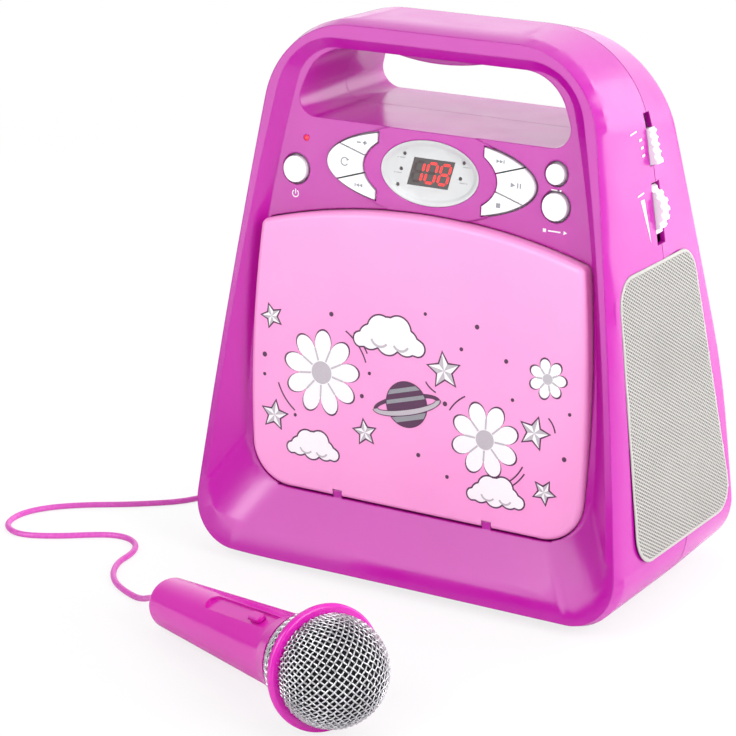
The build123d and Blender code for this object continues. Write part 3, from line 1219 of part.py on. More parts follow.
# ---------------------------------------------------------------- cord
FLOOR_ROUTE = [(-99.0, -145.0), (-111.5, -140.5), (-123.0, -133.5), (-132.0, -123.0), (-137.5, -110.5),
               (-138.0, -99.0), (-142.0, -89.0), (-150.0, -82.5), (-159.5, -81.5), (-169.5, -86.5),
               (-186.0, -99.5), (-203.5, -107.5), (-217.5, -100.0), (-221.5, -84.0), (-215.5, -69.0),
               (-201.0, -55.0), (-178.0, -40.5), (-153.0, -18.0), (-150.5, 20.0), (-149.5, 58.0),
               (-146.5, 92.0)]
COIL_X = JACK_X - COIL_LARGE - COIL_PITCH
COIL_START = Vector(COIL_X - COIL_LARGE, COIL_Y - END_STRAIGHT, CORD_LIE)
COIL_END = Vector(JACK_X, COIL_Y - END_STRAIGHT, CORD_LIE + COIL_PITCH)
PLUG_EXIT = BACK_DEPTH + 0.4 + FACE_GAP + PLUG_LENGTH + RELIEF_LENGTH


def mic_exit():
    return MIC_TAIL - MIC_AXIS.normalized() * (GLAND_LENGTH + FACE_GAP)


def run_points():
    """Route from the microphone's tail over the floor to the coil."""
    out = -MIC_AXIS.normalized()
    start = mic_exit()
    points = [start, start + out * 10.0 - Vector(0, 0, 1.0)]
    points += [Vector(x, y, CORD_LIE) for x, y in FLOOR_ROUTE]
    return points + [Vector(COIL_START.X, COIL_START.Y - 28.0, CORD_LIE), COIL_START]


def lead_points():
    """Route from the coil's upper layer to the plug."""
    top = JACK_HEIGHTS[0]
    places = [(COIL_END.Y - 9.0, COIL_END.Z), (PLUG_EXIT + 31.0, 9.0), (PLUG_EXIT + 22.0, 20.0),
              (PLUG_EXIT + 14.0, 30.0), (PLUG_EXIT + 7.0, top)]
    return [COIL_END] + [Vector(JACK_X, y, z) for y, z in places] + [Vector(JACK_X, PLUG_EXIT, top)]


def tube(points, name):
    """Round cord along straight runs joined by tangent arcs, each as large as its runs allow."""
    radii = []
    for before, corner, after in zip(points, points[1:], points[2:]):
        one, two = corner - before, after - corner
        turn = radians(one.get_angle(two))
        radii.append(0.45 * min(one.length, two.length) / tan(turn / 2))
    path = FilletPolyline(*points, radius=radii)
    solid = sweep(Plane(origin=points[0], z_dir=points[1] - points[0]) * Circle(CORD_RADIUS), path=path)
    length = sum(edge.length for edge in path.edges())
    whole = pi * CORD_RADIUS**2 * length
    print(name, "length", round(length, 1), "least radius", round(min(radii), 1),
          "volume share", round(solid.volume / whole, 4))
    return solid


def coil_arcs():
    """Half turns that spiral in, climb one layer and spiral out again."""
    half_pitch = COIL_PITCH / 2
    arcs = [Line(COIL_START, Vector(COIL_START.X, COIL_Y, CORD_LIE))]
    x, height, side = COIL_START.X, CORD_LIE, 1
    inward = [COIL_LARGE - turn * half_pitch for turn in range(COIL_HALF_TURNS)]
    small = COIL_LARGE - COIL_HALF_TURNS * half_pitch
    for radius in inward + [small] + inward[::-1]:
        start = Vector(x, COIL_Y, height)
        centre_x = x + side * radius
        if radius == small:
            reach = sqrt(radius**2 + half_pitch**2)
            top = Vector(centre_x, COIL_Y + side * reach, height + half_pitch)
            end = Vector(x + 2 * side * radius, COIL_Y, height + COIL_PITCH)
            first = TangentArc(start, top, tangent=(0, side, 0))
            arcs += [first, TangentArc(top, end, tangent=first % 1)]
            height += COIL_PITCH
        else:
            top = Vector(centre_x, COIL_Y + side * radius, height)
            end = Vector(x + 2 * side * radius, COIL_Y, height)
            arcs.append(ThreePointArc(start, top, end))
        x, side = end.X, -side
    return arcs + [Line(Vector(x, COIL_Y, height), Vector(x, COIL_END.Y, height))]


def make_coil():
    arcs = coil_arcs()
    path = Wire([edge for arc in arcs for edge in arc.edges()])
    solid = sweep(Plane(origin=COIL_START, z_dir=(0, 1, 0)) * Circle(CORD_RADIUS), path=path)
    length = sum(edge.length for edge in path.edges())
    points = [edge.position_at(step / COIL_SAMPLES)
              for edge in path.edges() for step in range(COIL_SAMPLES)]
    along = [0.0]
    for one, two in zip(points, points[1:]):
        along.append(along[-1] + (two - one).length)
    gap = min((one - two).length for i, one in enumerate(points)
              for j, two in enumerate(points[i + 1:], i + 1)
              if along[j] - along[i] > 4 * CORD_RADIUS) - 2 * CORD_RADIUS
    print("coil length", round(length, 1), "least self gap", round(gap, 2),
          "volume share", round(solid.volume / (pi * CORD_RADIUS**2 * length), 4))
    return solid


def make_plug():
    """Plug in the lower microphone socket: pin, grip and tapered strain relief."""
    face = BACK_DEPTH + 0.4 + FACE_GAP
    end = face + PLUG_LENGTH
    profile = [(0, face - PLUG_PIN_LENGTH), (PLUG_PIN, face - PLUG_PIN_LENGTH), (PLUG_PIN, face),
               (PLUG_RADIUS, face), (PLUG_RADIUS, end - 2), (PLUG_RADIUS - 1.4, end),
               (CORD_RADIUS + 0.6, end + RELIEF_LENGTH), (0, end + RELIEF_LENGTH)]
    solid = revolve(Plane.XZ * make_face(polygon(*profile)), Axis.Z)
    line = Plane(origin=(JACK_X, 0, JACK_HEIGHTS[0]), x_dir=(1, 0, 0), z_dir=(0, 1, 0))
    return line * solid


# ---------------------------------------------------------------- all pieces
def make_all():
    keys = key_table()
    pieces = {"front_shell": make_front_shell(), "rear_shell": make_rear_shell()}
    pieces.update(disc_door=make_door(), door_hinge_pins=make_hinge_pins())
    for name, cap, flange, spot in keys:
        pieces[name] = key_solid(cap, flange, spot)
    pieces.update(display_fascia=make_display_fascia(), display_window=make_display_window(),
                  digit_module=make_digit_module(), indicator_leds=make_indicator_leds(),
                  power_led=make_power_led(), key_board=make_key_board(),
                  key_switches=make_key_switches(keys), main_board=make_main_board())
    pieces.update(disc_well=make_well(), spindle_hub=make_hub(), spindle_motor=make_motor(),
                  deck_plate=make_deck_plate(), deck_dampers=make_dampers(), guide_rods=make_guide_rods(),
                  pickup_sled=make_sled(), pickup_lens=make_lens(), feed_screw=make_feed_screw(),
                  feed_motor=make_feed_motor())
    for name, maker in (("speaker_baskets", make_basket), ("speaker_magnets", make_magnet),
                        ("speaker_cones", make_cone)):
        pieces[name] = both_sides(maker())
    grille = make_grille()
    pieces.update(right_grille=grille, left_grille=mirrored(grille))
    pieces.update(volume_wheel=make_volume_wheel(), volume_pot=make_volume_pot(),
                  function_knob=make_function_knob(), function_switch=make_function_switch(),
                  side_board=make_side_board())
    pieces.update(battery_door=make_hatch(), battery_contacts=make_contacts(), mic_sockets=make_mic_sockets(),
                  dc_socket=make_dc_socket(), usb_socket=make_usb_socket(), case_screws=make_case_screws(),
                  rubber_feet=make_feet())
    pieces.update(mic_body=make_mic_body(), mic_gland=make_mic_gland(),
                  mic_switch_knob=make_mic_switch_knob(), mic_basket=make_mic_mesh(False),
                  mic_ring=make_mic_ring(), mic_grille=make_mic_mesh(True), mic_capsule=make_mic_capsule())
    pieces.update(cord_run=tube(run_points(), "cord run"), cord_coil=make_coil(),
                  cord_lead=tube(lead_points(), "cord lead"), mic_plug=make_plug())
    return pieces


if __name__ == "__main__":
    os.makedirs("parts", exist_ok=True)
    for piece, solid in make_all().items():
        save(solid, piece)
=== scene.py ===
# Karaoke machine with a front disc door and a corded microphone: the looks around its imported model.
# Lengths are written in millimetres and turned into metres where the meshes are made.
from math import acos, atan2, ceil, cos, hypot, pi, radians, sin, sqrt

import bmesh
import bpy
from mathutils import Matrix, Vector


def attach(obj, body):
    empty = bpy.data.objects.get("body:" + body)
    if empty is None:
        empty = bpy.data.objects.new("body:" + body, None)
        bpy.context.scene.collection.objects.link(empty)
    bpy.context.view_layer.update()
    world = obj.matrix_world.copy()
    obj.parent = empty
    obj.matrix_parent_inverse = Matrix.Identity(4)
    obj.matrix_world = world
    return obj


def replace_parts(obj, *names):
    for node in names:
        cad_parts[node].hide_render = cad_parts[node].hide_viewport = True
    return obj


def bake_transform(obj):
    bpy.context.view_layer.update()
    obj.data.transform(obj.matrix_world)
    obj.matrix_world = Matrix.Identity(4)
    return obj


MM = 0.001
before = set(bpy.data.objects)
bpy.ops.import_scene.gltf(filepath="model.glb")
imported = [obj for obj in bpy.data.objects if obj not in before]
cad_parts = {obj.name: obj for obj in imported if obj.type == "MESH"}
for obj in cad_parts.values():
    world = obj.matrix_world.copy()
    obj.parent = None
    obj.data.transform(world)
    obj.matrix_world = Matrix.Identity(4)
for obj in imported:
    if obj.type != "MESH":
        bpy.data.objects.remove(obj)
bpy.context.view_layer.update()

# ---------------------------------------------------------------- camera: where the photograph was taken from
PHOTO_SIDE = 736           # pixels
FOCAL_PIXELS = 2769.2
SENSOR = 36.0
VIEW_TURN = radians(31.43)
VIEW_RISE = radians(17.62)
VIEW_DISTANCE = 1397.98
VIEW_MIDDLE = Vector((-60.26, 0.0, 85.0))

# ---------------------------------------------------------------- places shared with the model's source
PANEL_LEAN = radians(5.0)  # the recessed face leans back
PANEL_FOOT = -62.0
SIDE_LOW, SIDE_TOP = 121.5, 85.0
SIDE_BOW = 2.2
SIDE_SPAN = (3.5, 270.5)
NOSE_DRAW, NOSE_DEPTH = 0.9, 80.0
SIDE_TILT = radians(7.857)
SPEAKER_HEIGHT = 95.0
GRILLE_CORNERS = [(-54.0, 31.0), (50.0, 31.0), (33.0, 165.0), (-46.0, 165.0)]
GRILLE_RADIUS = 14.0
DOOR_FOOT, DOOR_HEAD = (-59.6, 40.6), (-54.36, 183.5)   # y and z at the ends of the door's face
DOOR_PUFF = 0.8
OVAL_X, OVAL_HEIGHT = 1.0, 203.4
WINDOW_FRONT = -0.8
WINDOW_SHEAR = 3.4 / 13.2
PANEL_LEDS = [(-14.6, 7.8), (-16.2, 0.4), (-17.6, -7.2), (17.4, 7.0), (15.9, -0.6)]
KEY_TOP = 1.6
# the second number is the width of the painted shade films round the keys' openings
KEY_GAP, KEY_SHADE_WIDTH = 0.7, 0.55
CLUSTER_OUTER, CLUSTER_INNER, CLUSTER_TIP = (56.0, 18.6), (36.6, 18.9), 29.0
ROUND_KEYS = [(-73.2, 196.6, 6.4), (67.1, 211.4, 4.8), (67.7, 196.3, 6.4)]
MIC_TAIL = Vector((-72.1, -160.1, 11.95))
MIC_HEAD = Vector((57.0, -221.2, 29.3))
MIC_BALL = 25.0
MIC_NECK = 120.0
BASKET_START = 19.5
RING_BACK, RING_THICK = 6.1, 4.0
GLAND_AND_GAP = 4.3
JACK_X, PLUG_EXIT, JACK_HEIGHT = -90.0, 99.7, 34.0
WHEEL_HEIGHT, SLIDER_HEIGHT = 187.0, 221.5


# ---------------------------------------------------------------- frames of the object's faces
def face_frame(origin, across, outwards):
    """Matrix, in metres, of a face: x across it, z out of it."""
    z = Vector(outwards).normalized()
    x = (Vector(across) - z * Vector(across).dot(z)).normalized()
    y = z.cross(x)
    turn = Matrix((x, y, z)).transposed().to_4x4()
    return Matrix.Translation(Vector(origin) * MM) @ turn @ Matrix.Scale(MM, 4)


def side_half_width(z):
    share = (z - SIDE_SPAN[0]) / (SIDE_SPAN[1] - SIDE_SPAN[0])
    return SIDE_LOW + share * (SIDE_TOP - SIDE_LOW) + SIDE_BOW * (1 - (2 * share - 1) ** 2)


PANEL = face_frame((0, PANEL_FOOT, 0), (1, 0, 0), (0, -cos(PANEL_LEAN), sin(PANEL_LEAN)))
RIGHT_SIDE = face_frame((side_half_width(SPEAKER_HEIGHT), 0, SPEAKER_HEIGHT), (0, 1, 0),
                        (cos(SIDE_TILT), 0, sin(SIDE_TILT)))
MIC_AXIS = (MIC_HEAD - MIC_TAIL).normalized()
MIC_REACH = (MIC_HEAD - MIC_TAIL).length
MIC = face_frame(MIC_TAIL, (0, 0, 1), MIC_AXIS)
MIRROR = Matrix.Scale(-1, 4, (1, 0, 0))


def place_camera():
    towards = Vector((sin(VIEW_TURN) * cos(VIEW_RISE), -cos(VIEW_TURN) * cos(VIEW_RISE), sin(VIEW_RISE)))
    lens = bpy.data.cameras.new("photo_view")
    lens.sensor_width = SENSOR
    lens.lens = SENSOR * FOCAL_PIXELS / PHOTO_SIDE
    camera = bpy.data.objects.new("photo_view", lens)
    camera.location = (VIEW_MIDDLE + towards * VIEW_DISTANCE) * MM
    camera.rotation_euler = (-towards).to_track_quat("-Z", "Y").to_euler()
    bpy.context.collection.objects.link(camera)
    bpy.context.scene.camera = camera


# ---------------------------------------------------------------- objects from meshes
def shown(name, data):
    made = bpy.data.objects.new(name, data)
    bpy.context.collection.objects.link(made)
    return made


def settled(made):
    """Plain mesh object in place of one with modifiers, or of a curve."""
    depsgraph = bpy.context.evaluated_depsgraph_get()
    mesh = bpy.data.meshes.new_from_object(made.evaluated_get(depsgraph), depsgraph=depsgraph)
    name = made.name
    bpy.data.objects.remove(made)
    mesh.name = name
    return shown(name, mesh)


def from_points(name, points, faces):
    mesh = bpy.data.meshes.new(name)
    mesh.from_pydata([tuple(point) for point in points], [], faces)
    mesh.update()
    return mesh


def even_shading(mesh, limit=32.0):
    """Smooth faces with crisp edges where neighbours meet at more than the limit in degrees."""
    form = bmesh.new()
    form.from_mesh(mesh)
    for face in form.faces:
        face.smooth = True
    for edge in form.edges:
        edge.smooth = not edge.is_manifold or edge.calc_face_angle(0.0) < radians(limit)
    form.to_mesh(mesh)
    form.free()


def dress(made, body, slot, *materials):
    """Gives a finished piece its materials and the body it moves with; the slot argument is not used."""
    if materials:
        made.data.materials.clear()
        for material in materials:
            made.data.materials.append(material)
    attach(made, body)
    return made


# ---------------------------------------------------------------- nodes and materials
def linear(code):
    """Linear red, green, blue and alpha of an sRGB colour such as "D63BC6"."""
    shares = [int(code[at:at + 2], 16) / 255 for at in (0, 2, 4)]
    return tuple(c / 12.92 if c <= 0.04045 else ((c + 0.055) / 1.055) ** 2.4 for c in shares) + (1.0,)


def node(tree, kind, settings=None, links=None):
    """Adds a node to a tree. A link is a value for one of its inputs, or another node's output."""
    made = tree.nodes.new(kind)
    for name, value in (settings or {}).items():
        setattr(made, name, value)
    for key, value in (links or {}).items():
        if isinstance(value, bpy.types.NodeSocket):
            tree.links.new(value, made.inputs[key])
        else:
            made.inputs[key].default_value = value
    return made


def new_material(name):
    material = bpy.data.materials.new(name)
    material.use_nodes = True
    tree = material.node_tree
    tree.nodes.clear()
    place = node(tree, "ShaderNodeTexCoord").outputs["Object"]
    return material, tree, place


def noise(tree, place, size, detail=2.0, stretch=None):
    """Noise whose lumps are about so many millimetres across, longer along one axis where stretch says so."""
    if stretch:
        place = node(tree, "ShaderNodeMapping", {"vector_type": "POINT"},
                     {"Vector": place, "Scale": stretch}).outputs["Vector"]
    return node(tree, "ShaderNodeTexNoise", {"noise_dimensions": "3D"},
                {"Vector": place, "Scale": 1.0 / (size * MM), "Detail": detail}).outputs["Fac"]


def between(tree, share, low, high, start=0.3, end=0.7):
    """Number from low to high as share goes from start to end."""
    return node(tree, "ShaderNodeMapRange", None,
                {"Value": share, "From Min": start, "From Max": end, "To Min": low, "To Max": high}).outputs["Result"]


def tinted(tree, share, one, other):
    """Colour from one hex colour to the other as share goes from 0 to 1."""
    return node(tree, "ShaderNodeMix", {"data_type": "RGBA"},
                {0: share, 6: linear(one), 7: linear(other)}).outputs[2]


def raised(tree, height, depth, normal=None):
    links = {"Height": height, "Distance": depth * MM, "Strength": 1.0}
    if normal:
        links["Normal"] = normal
    return node(tree, "ShaderNodeBump", None, links).outputs["Normal"]


def finish_with(material, tree, **sockets):
    """Ends a material with the surface shader; socket names are written with underscores for spaces."""
    shader = node(tree, "ShaderNodeBsdfPrincipled", None,
                  {name.replace("_", " "): value for name, value in sockets.items()})
    node(tree, "ShaderNodeOutputMaterial", None, {"Surface": shader.outputs["BSDF"]})
    return material


def moulded_plastic(name, colour, deep, gloss, skin=0.0, ior=1.53, soft_edge=0.35, cloud=60.0):
    """Injection-moulded plastic. Pigment clouds a little where the melt flowed; the skin copies the mould."""
    material, tree, place = new_material(name)
    flow = between(tree, noise(tree, place, cloud), 0.0, 1.0)
    edge = node(tree, "ShaderNodeBevel", {"samples": 4}, {"Radius": soft_edge * MM}).outputs["Normal"]
    ripple = noise(tree, place, 9.0, 1.0)
    normal = raised(tree, ripple, 0.012, edge)
    if skin:
        normal = raised(tree, noise(tree, place, 0.5, 3.0), skin, normal)
    rough = between(tree, noise(tree, place, 14.0, 4.0), gloss * 0.85, gloss * 1.2)
    return finish_with(material, tree, Base_Color=tinted(tree, flow, colour, deep), Roughness=rough,
                       IOR=ior, Normal=normal)


def body_abs():
    # ABS shell, moulded in a polished tool: deep gloss, slow ripples in the reflections
    return moulded_plastic("moulded_abs_magenta", "BC10A4", "B60B9E", 0.2, soft_edge=1.0)


def door_abs():
    # ABS door, pigmented pale pink, from a finely blasted tool: a broad soft sheen
    return moulded_plastic("moulded_abs_pale_pink", "FBA4DC", "F99EDA", 0.36, skin=0.004)


def well_abs():
    # ABS from a spark-eroded tool: dull, fine-grained, a shade deeper than the shell
    return moulded_plastic("eroded_abs_deep_magenta", "B82FA8", "AE2A9F", 0.5, skin=0.02)


def key_abs():
    # White ABS caps, polished: crisp small highlights and a faint cool tone in the shade
    return moulded_plastic("moulded_abs_white", "F6F6F7", "F1F2F4", 0.22, cloud=25.0)


def dial_abs():
    # Light grey ABS of the display's oval, satin tool: pale and even
    return moulded_plastic("moulded_abs_light_grey", "D2D5D5", "CDD0D0", 0.33, skin=0.003, cloud=30.0)


def mic_abs():
    # ABS microphone handle, gloss tool: the same pigment as the shell, a little warmer
    return moulded_plastic("moulded_abs_microphone", "DC17B6", "D711B0", 0.22)


def black_abs():
    # Carbon-filled ABS with an eroded skin: near black, dull
    return moulded_plastic("moulded_abs_black", "1B1B1D", "222225", 0.45, skin=0.01)


def smoked_acrylic():
    # Tinted cast acrylic of the display window: black with a warm depth, mirror gloss
    material, tree, place = new_material("smoked_acrylic")
    depth = between(tree, noise(tree, place, 6.0), 0.0, 1.0)
    return finish_with(material, tree, Base_Color=tinted(tree, depth, "1A090C", "26090E"), Roughness=0.08, IOR=1.49,
                       Normal=raised(tree, noise(tree, place, 5.0), 0.004))


def tinted_epoxy(name, shallow, deep, glow):
    # Tinted epoxy of a lamp's dome: glassy, its colour shallower towards the die
    material, tree, place = new_material(name)
    depth = between(tree, noise(tree, place, 1.2), 0.0, 1.0)
    colour = tinted(tree, depth, deep, shallow)
    return finish_with(material, tree, Base_Color=colour, Roughness=0.12, IOR=1.55,
                       Emission_Color=colour, Emission_Strength=glow)


def lit_segment():
    # Light guide of a lit digit: even red glow that thins towards its ends
    material, tree, place = new_material("lit_digit_segment")
    flicker = between(tree, noise(tree, place, 1.6, 3.0), 0.0, 1.0)
    colour = tinted(tree, flicker, "F0332E", "C81F22")
    return finish_with(material, tree, Base_Color=colour, Roughness=0.4, Emission_Color=colour, Emission_Strength=0.75)


def dark_segment():
    # Unlit light guide behind the smoked window: barely lighter than it
    material, tree, place = new_material("unlit_digit_segment")
    depth = between(tree, noise(tree, place, 2.0), 0.0, 1.0)
    return finish_with(material, tree, Base_Color=tinted(tree, depth, "34100F", "2C0C0D"), Roughness=0.3)


def screen_ink(name, colour, worn):
    """Screen-printed ink, a few hundredths thick: matt, with the mesh's faint grain at its surface."""
    material, tree, place = new_material(name)
    grain = noise(tree, place, 0.6, 3.0)
    return finish_with(material, tree, Base_Color=tinted(tree, between(tree, grain, 0.0, 1.0), colour, worn),
                       Roughness=between(tree, grain, 0.42, 0.55), Normal=raised(tree, grain, 0.004))


def powder_coated_steel():
    # Punched sheet steel, powder-coated warm grey: fine orange peel, soft sheen
    material, tree, place = new_material("powder_coated_steel")
    peel = noise(tree, place, 0.9, 2.0)
    tone = between(tree, noise(tree, place, 45.0), 0.0, 1.0)
    return finish_with(material, tree, Base_Color=tinted(tree, tone, "B5B2AE", "AEABA7"),
                       Roughness=between(tree, peel, 0.38, 0.5), IOR=1.5, Normal=raised(tree, peel, 0.02))


def speaker_felt():
    # Thin polyester felt behind the holes: black, fibrous, no sheen
    material, tree, place = new_material("polyester_felt")
    fibre = noise(tree, place, 0.8, 5.0, stretch=(1.0, 3.0, 1.0))
    return finish_with(material, tree, Base_Color=tinted(tree, fibre, "1C191B", "332E31"), Roughness=0.95,
                       Normal=raised(tree, fibre, 0.15))


def drawn_wire():
    # Nickel-plated drawn steel wire of the microphone's basket: bright, drawn lines along it
    material, tree, place = new_material("nickel_plated_wire")
    tone = between(tree, noise(tree, place, 2.5, 3.0), 0.0, 1.0)
    return finish_with(material, tree, Base_Color=tinted(tree, tone, "D4D3D6", "B5B4B8"), Metallic=1.0,
                       Roughness=between(tree, noise(tree, place, 0.7), 0.2, 0.36))


def zinc_steel():
    # Bright zinc on steel: spangled, slightly blue, semi-bright
    material, tree, place = new_material("zinc_plated_steel")
    spangle = node(tree, "ShaderNodeTexVoronoi", {"feature": "F1"}, {"Vector": place, "Scale": 1 / (2.5 * MM)})
    tone = between(tree, spangle.outputs["Distance"], 0.0, 1.0, 0.0, 1.0)
    return finish_with(material, tree, Base_Color=tinted(tree, tone, "B9BCC2", "A3A6AD"), Metallic=1.0,
                       Roughness=between(tree, tone, 0.25, 0.42, 0.0, 1.0))


def open_cell_foam():
    # Polyurethane foam liner in the ball: dark open cells half a millimetre across, drawn at 0.9 so that they show
    material, tree, place = new_material("polyurethane_foam")
    cells = node(tree, "ShaderNodeTexVoronoi", {"feature": "F1"}, {"Vector": place, "Scale": 1 / (0.9 * MM)})
    depth = cells.outputs["Distance"]
    return finish_with(material, tree, Base_Color=tinted(tree, depth, "17161A", "2B292E"), Roughness=0.95,
                       Normal=raised(tree, depth, 0.3))


def flexible_pvc():
    # Extruded flexible PVC sheath: satin, with faint rings from the haul-off every 1.5 mm or so
    material, tree, _ = new_material("flexible_pvc_pink")
    along = node(tree, "ShaderNodeUVMap", {"uv_map": "sheath"}).outputs["UV"]
    rings = node(tree, "ShaderNodeTexNoise", None, {"Vector": node(tree, "ShaderNodeMapping", None, {
        "Vector": along, "Scale": (3.0, 650.0, 1.0)}).outputs["Vector"], "Scale": 1.0, "Detail": 2.0}).outputs["Fac"]
    return finish_with(material, tree, Base_Color=tinted(tree, between(tree, rings, 0.0, 1.0), "DB57C0", "CF4AB4"),
                       Roughness=between(tree, rings, 0.34, 0.46), IOR=1.52, Normal=raised(tree, rings, 0.02))


def nitrile_rubber():
    # Moulded rubber feet: black, matt, dusted grey
    material, tree, place = new_material("nitrile_rubber")
    dust = noise(tree, place, 3.0, 5.0)
    return finish_with(material, tree, Base_Color=tinted(tree, dust, "19191A", "2A2A2B"),
                       Roughness=between(tree, dust, 0.7, 0.9), Normal=raised(tree, noise(tree, place, 0.6), 0.03))


def circuit_board():
    # Glass-epoxy board under green solder mask, with copper runs showing through it
    material, tree, place = new_material("green_solder_mask")
    runs = node(tree, "ShaderNodeTexBrick", {"offset": 0.5, "squash": 1.0}, {
        "Vector": place, "Scale": 1 / (6 * MM), "Color1": linear("1C6B3C"), "Color2": linear("17603A"),
        "Mortar": linear("2E8A50"), "Mortar Size": 0.05})
    return finish_with(material, tree, Base_Color=runs.outputs["Color"], Roughness=0.3, IOR=1.5,
                       Normal=raised(tree, runs.outputs["Fac"], 0.03))


def sintered_ferrite():
    # Pressed and sintered ferrite: charcoal, gritty
    material, tree, place = new_material("sintered_ferrite")
    grit = noise(tree, place, 0.8, 4.0)
    return finish_with(material, tree, Base_Color=tinted(tree, grit, "26262A", "3A3A3F"), Roughness=0.75,
                       Normal=raised(tree, grit, 0.05))


def pulp_paper():
    # Pressed paper pulp of the cones: dark grey fibres, ribbed by the felt it dried on
    material, tree, place = new_material("paper_pulp")
    fibre = noise(tree, place, 1.6, 6.0)
    return finish_with(material, tree, Base_Color=tinted(tree, fibre, "222124", "3D3B40"), Roughness=0.88,
                       Normal=raised(tree, fibre, 0.12))


def coated_lens():
    # Polished acrylic lens with a blue anti-reflection film
    material, tree, place = new_material("coated_acrylic_lens")
    film = between(tree, noise(tree, place, 3.0), 0.0, 1.0)
    return finish_with(material, tree, Base_Color=tinted(tree, film, "5C6FB8", "7A66C2"), Roughness=0.05, IOR=1.49,
                       Metallic=0.3)


def black_lacquer():
    # Stamped steel under black stoving lacquer: thin, semi-gloss
    material, tree, place = new_material("stoved_black_lacquer")
    flow = noise(tree, place, 4.0)
    return finish_with(material, tree, Base_Color=tinted(tree, flow, "161617", "202022"),
                       Roughness=between(tree, flow, 0.3, 0.42), Normal=raised(tree, flow, 0.01))


# ---------------------------------------------------------------- the microphone's cord
CORD_DIAMETER = 3.0
CORD_LIE = 1.6
FLOOR_ROUTE = [(-99.0, -145.0), (-111.5, -140.5), (-123.0, -133.5), (-132.0, -123.0), (-137.5, -110.5),
               (-138.0, -99.0), (-142.0, -89.0), (-150.0, -82.5), (-159.5, -81.5), (-169.5, -86.5),
               (-186.0, -99.5), (-203.5, -107.5), (-217.5, -100.0), (-221.5, -84.0), (-215.5, -69.0),
               (-201.0, -55.0), (-178.0, -40.5), (-153.0, -18.0), (-150.5, 20.0), (-149.5, 58.0),
               (-146.5, 92.0)]
COIL_PITCH = 3.6
COIL_LARGE = 26.0
COIL_HALF_TURNS = 7        # in each of its two layers
COIL_Y = 154.0
COIL_STEPS = 7             # control points in half a turn
COIL_X = JACK_X - COIL_LARGE - COIL_PITCH
LEAD_ROUTE = [(142.0, 5.2), (PLUG_EXIT + 31, 9.0), (PLUG_EXIT + 22, 20.0), (PLUG_EXIT + 14, 30.0),
              (PLUG_EXIT + 7, JACK_HEIGHT), (PLUG_EXIT, JACK_HEIGHT)]


def coil_turns():
    """Half turns that spiral in, climb one layer and spiral out again over them."""
    shrink = COIL_PITCH / 2
    inward = [COIL_LARGE - turn * shrink for turn in range(COIL_HALF_TURNS)]
    smallest = COIL_LARGE - COIL_HALF_TURNS * shrink
    points, x, height, side = [], COIL_X - COIL_LARGE, CORD_LIE, 1
    for radius in inward + [smallest] + inward[::-1]:
        climb = COIL_PITCH if radius == smallest else 0.0
        for step in range(COIL_STEPS):
            share = (step + 0.5) / COIL_STEPS
            turn = pi * share
            points.append((x + side * radius * (1 - cos(turn)), COIL_Y + side * radius * sin(turn),
                           height + climb * share))
        x, height, side = x + 2 * side * radius, height + climb, -side
    return points


def cord_route():
    start = MIC_TAIL - MIC_AXIS * GLAND_AND_GAP
    points = [start, start - MIC_AXIS * 10.0 - Vector((0, 0, 1.0))]
    points += [Vector((x, y, CORD_LIE)) for x, y in FLOOR_ROUTE]
    points += [Vector((COIL_X - COIL_LARGE, y, CORD_LIE)) for y in (123.0, 151.0)]
    points += [Vector(point) for point in coil_turns()]
    points += [Vector((JACK_X, 151.0, CORD_LIE + COIL_PITCH))]
    return points + [Vector((JACK_X, y, z)) for y, z in LEAD_ROUTE]


def line_through(points, fineness):
    """Points, in metres, read from the smooth line that has these control points."""
    data = bpy.data.curves.new("cord_line", "CURVE")
    data.dimensions = "3D"
    data.resolution_u = fineness
    spline = data.splines.new("NURBS")
    spline.points.add(len(points) - 1)
    for control, point in zip(spline.points, points):
        control.co = (*(point * MM), 1.0)
    spline.order_u = 3
    spline.use_endpoint_u = True
    read = settled(shown("cord_line", data))
    line = [vertex.co.copy() for vertex in read.data.vertices]
    bpy.data.objects.remove(read)
    return line


def tube_along(name, line, radius, sides):
    """Tube round a line of points, with a UV map that runs round and along it in metres."""
    directions = [(b - a).normalized() for a, b in zip(line, line[1:])]
    tangents = [directions[0]] + [(a + b).normalized() for a, b in zip(directions, directions[1:])] + [directions[-1]]
    up = Vector((0, 0, 1))
    points, along = [], [0.0]
    for at, (place, tangent) in enumerate(zip(line, tangents)):
        up = (up - tangent * up.dot(tangent)).normalized()
        side = tangent.cross(up)
        if at:
            along.append(along[-1] + (place - line[at - 1]).length)
        for step in range(sides):
            turn = 2 * pi * step / sides
            points.append(place + (up * cos(turn) + side * sin(turn)) * radius)
    faces, rounds = [], len(line)
    for at in range(rounds - 1):
        for step in range(sides):
            after = (step + 1) % sides
            faces.append((at * sides + step, at * sides + after, (at + 1) * sides + after, (at + 1) * sides + step))
    faces.append(tuple(range(sides))[::-1])
    faces.append(tuple((rounds - 1) * sides + step for step in range(sides)))
    mesh = from_points(name, points, faces)
    layer = mesh.uv_layers.new(name="sheath")
    for face in mesh.polygons:
        sides_used = [mesh.loops[loop].vertex_index % sides for loop in face.loop_indices]
        wraps = 0 in sides_used and sides - 1 in sides_used
        for loop in face.loop_indices:
            ring, step = divmod(mesh.loops[loop].vertex_index, sides)
            layer.data[loop].uv = ((step + (sides if wraps and step == 0 else 0)) / sides, along[ring])
    form = bmesh.new()
    form.from_mesh(mesh)
    bmesh.ops.recalc_face_normals(form, faces=form.faces)
    form.to_mesh(mesh)
    form.free()
    return mesh, along[-1]


def make_cord(sheath):
    line = line_through(cord_route(), 5)
    mesh, length = tube_along("microphone_cord", line, CORD_DIAMETER / 2 * MM, 12)
    even_shading(mesh, 60.0)
    cord = shown("microphone_cord", mesh)
    mesh.materials.append(sheath)
    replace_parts(cord, "cord_run", "cord_coil", "cord_lead")
    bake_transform(cord)
    print("cord line", round(length, 4), "m")
    return cord


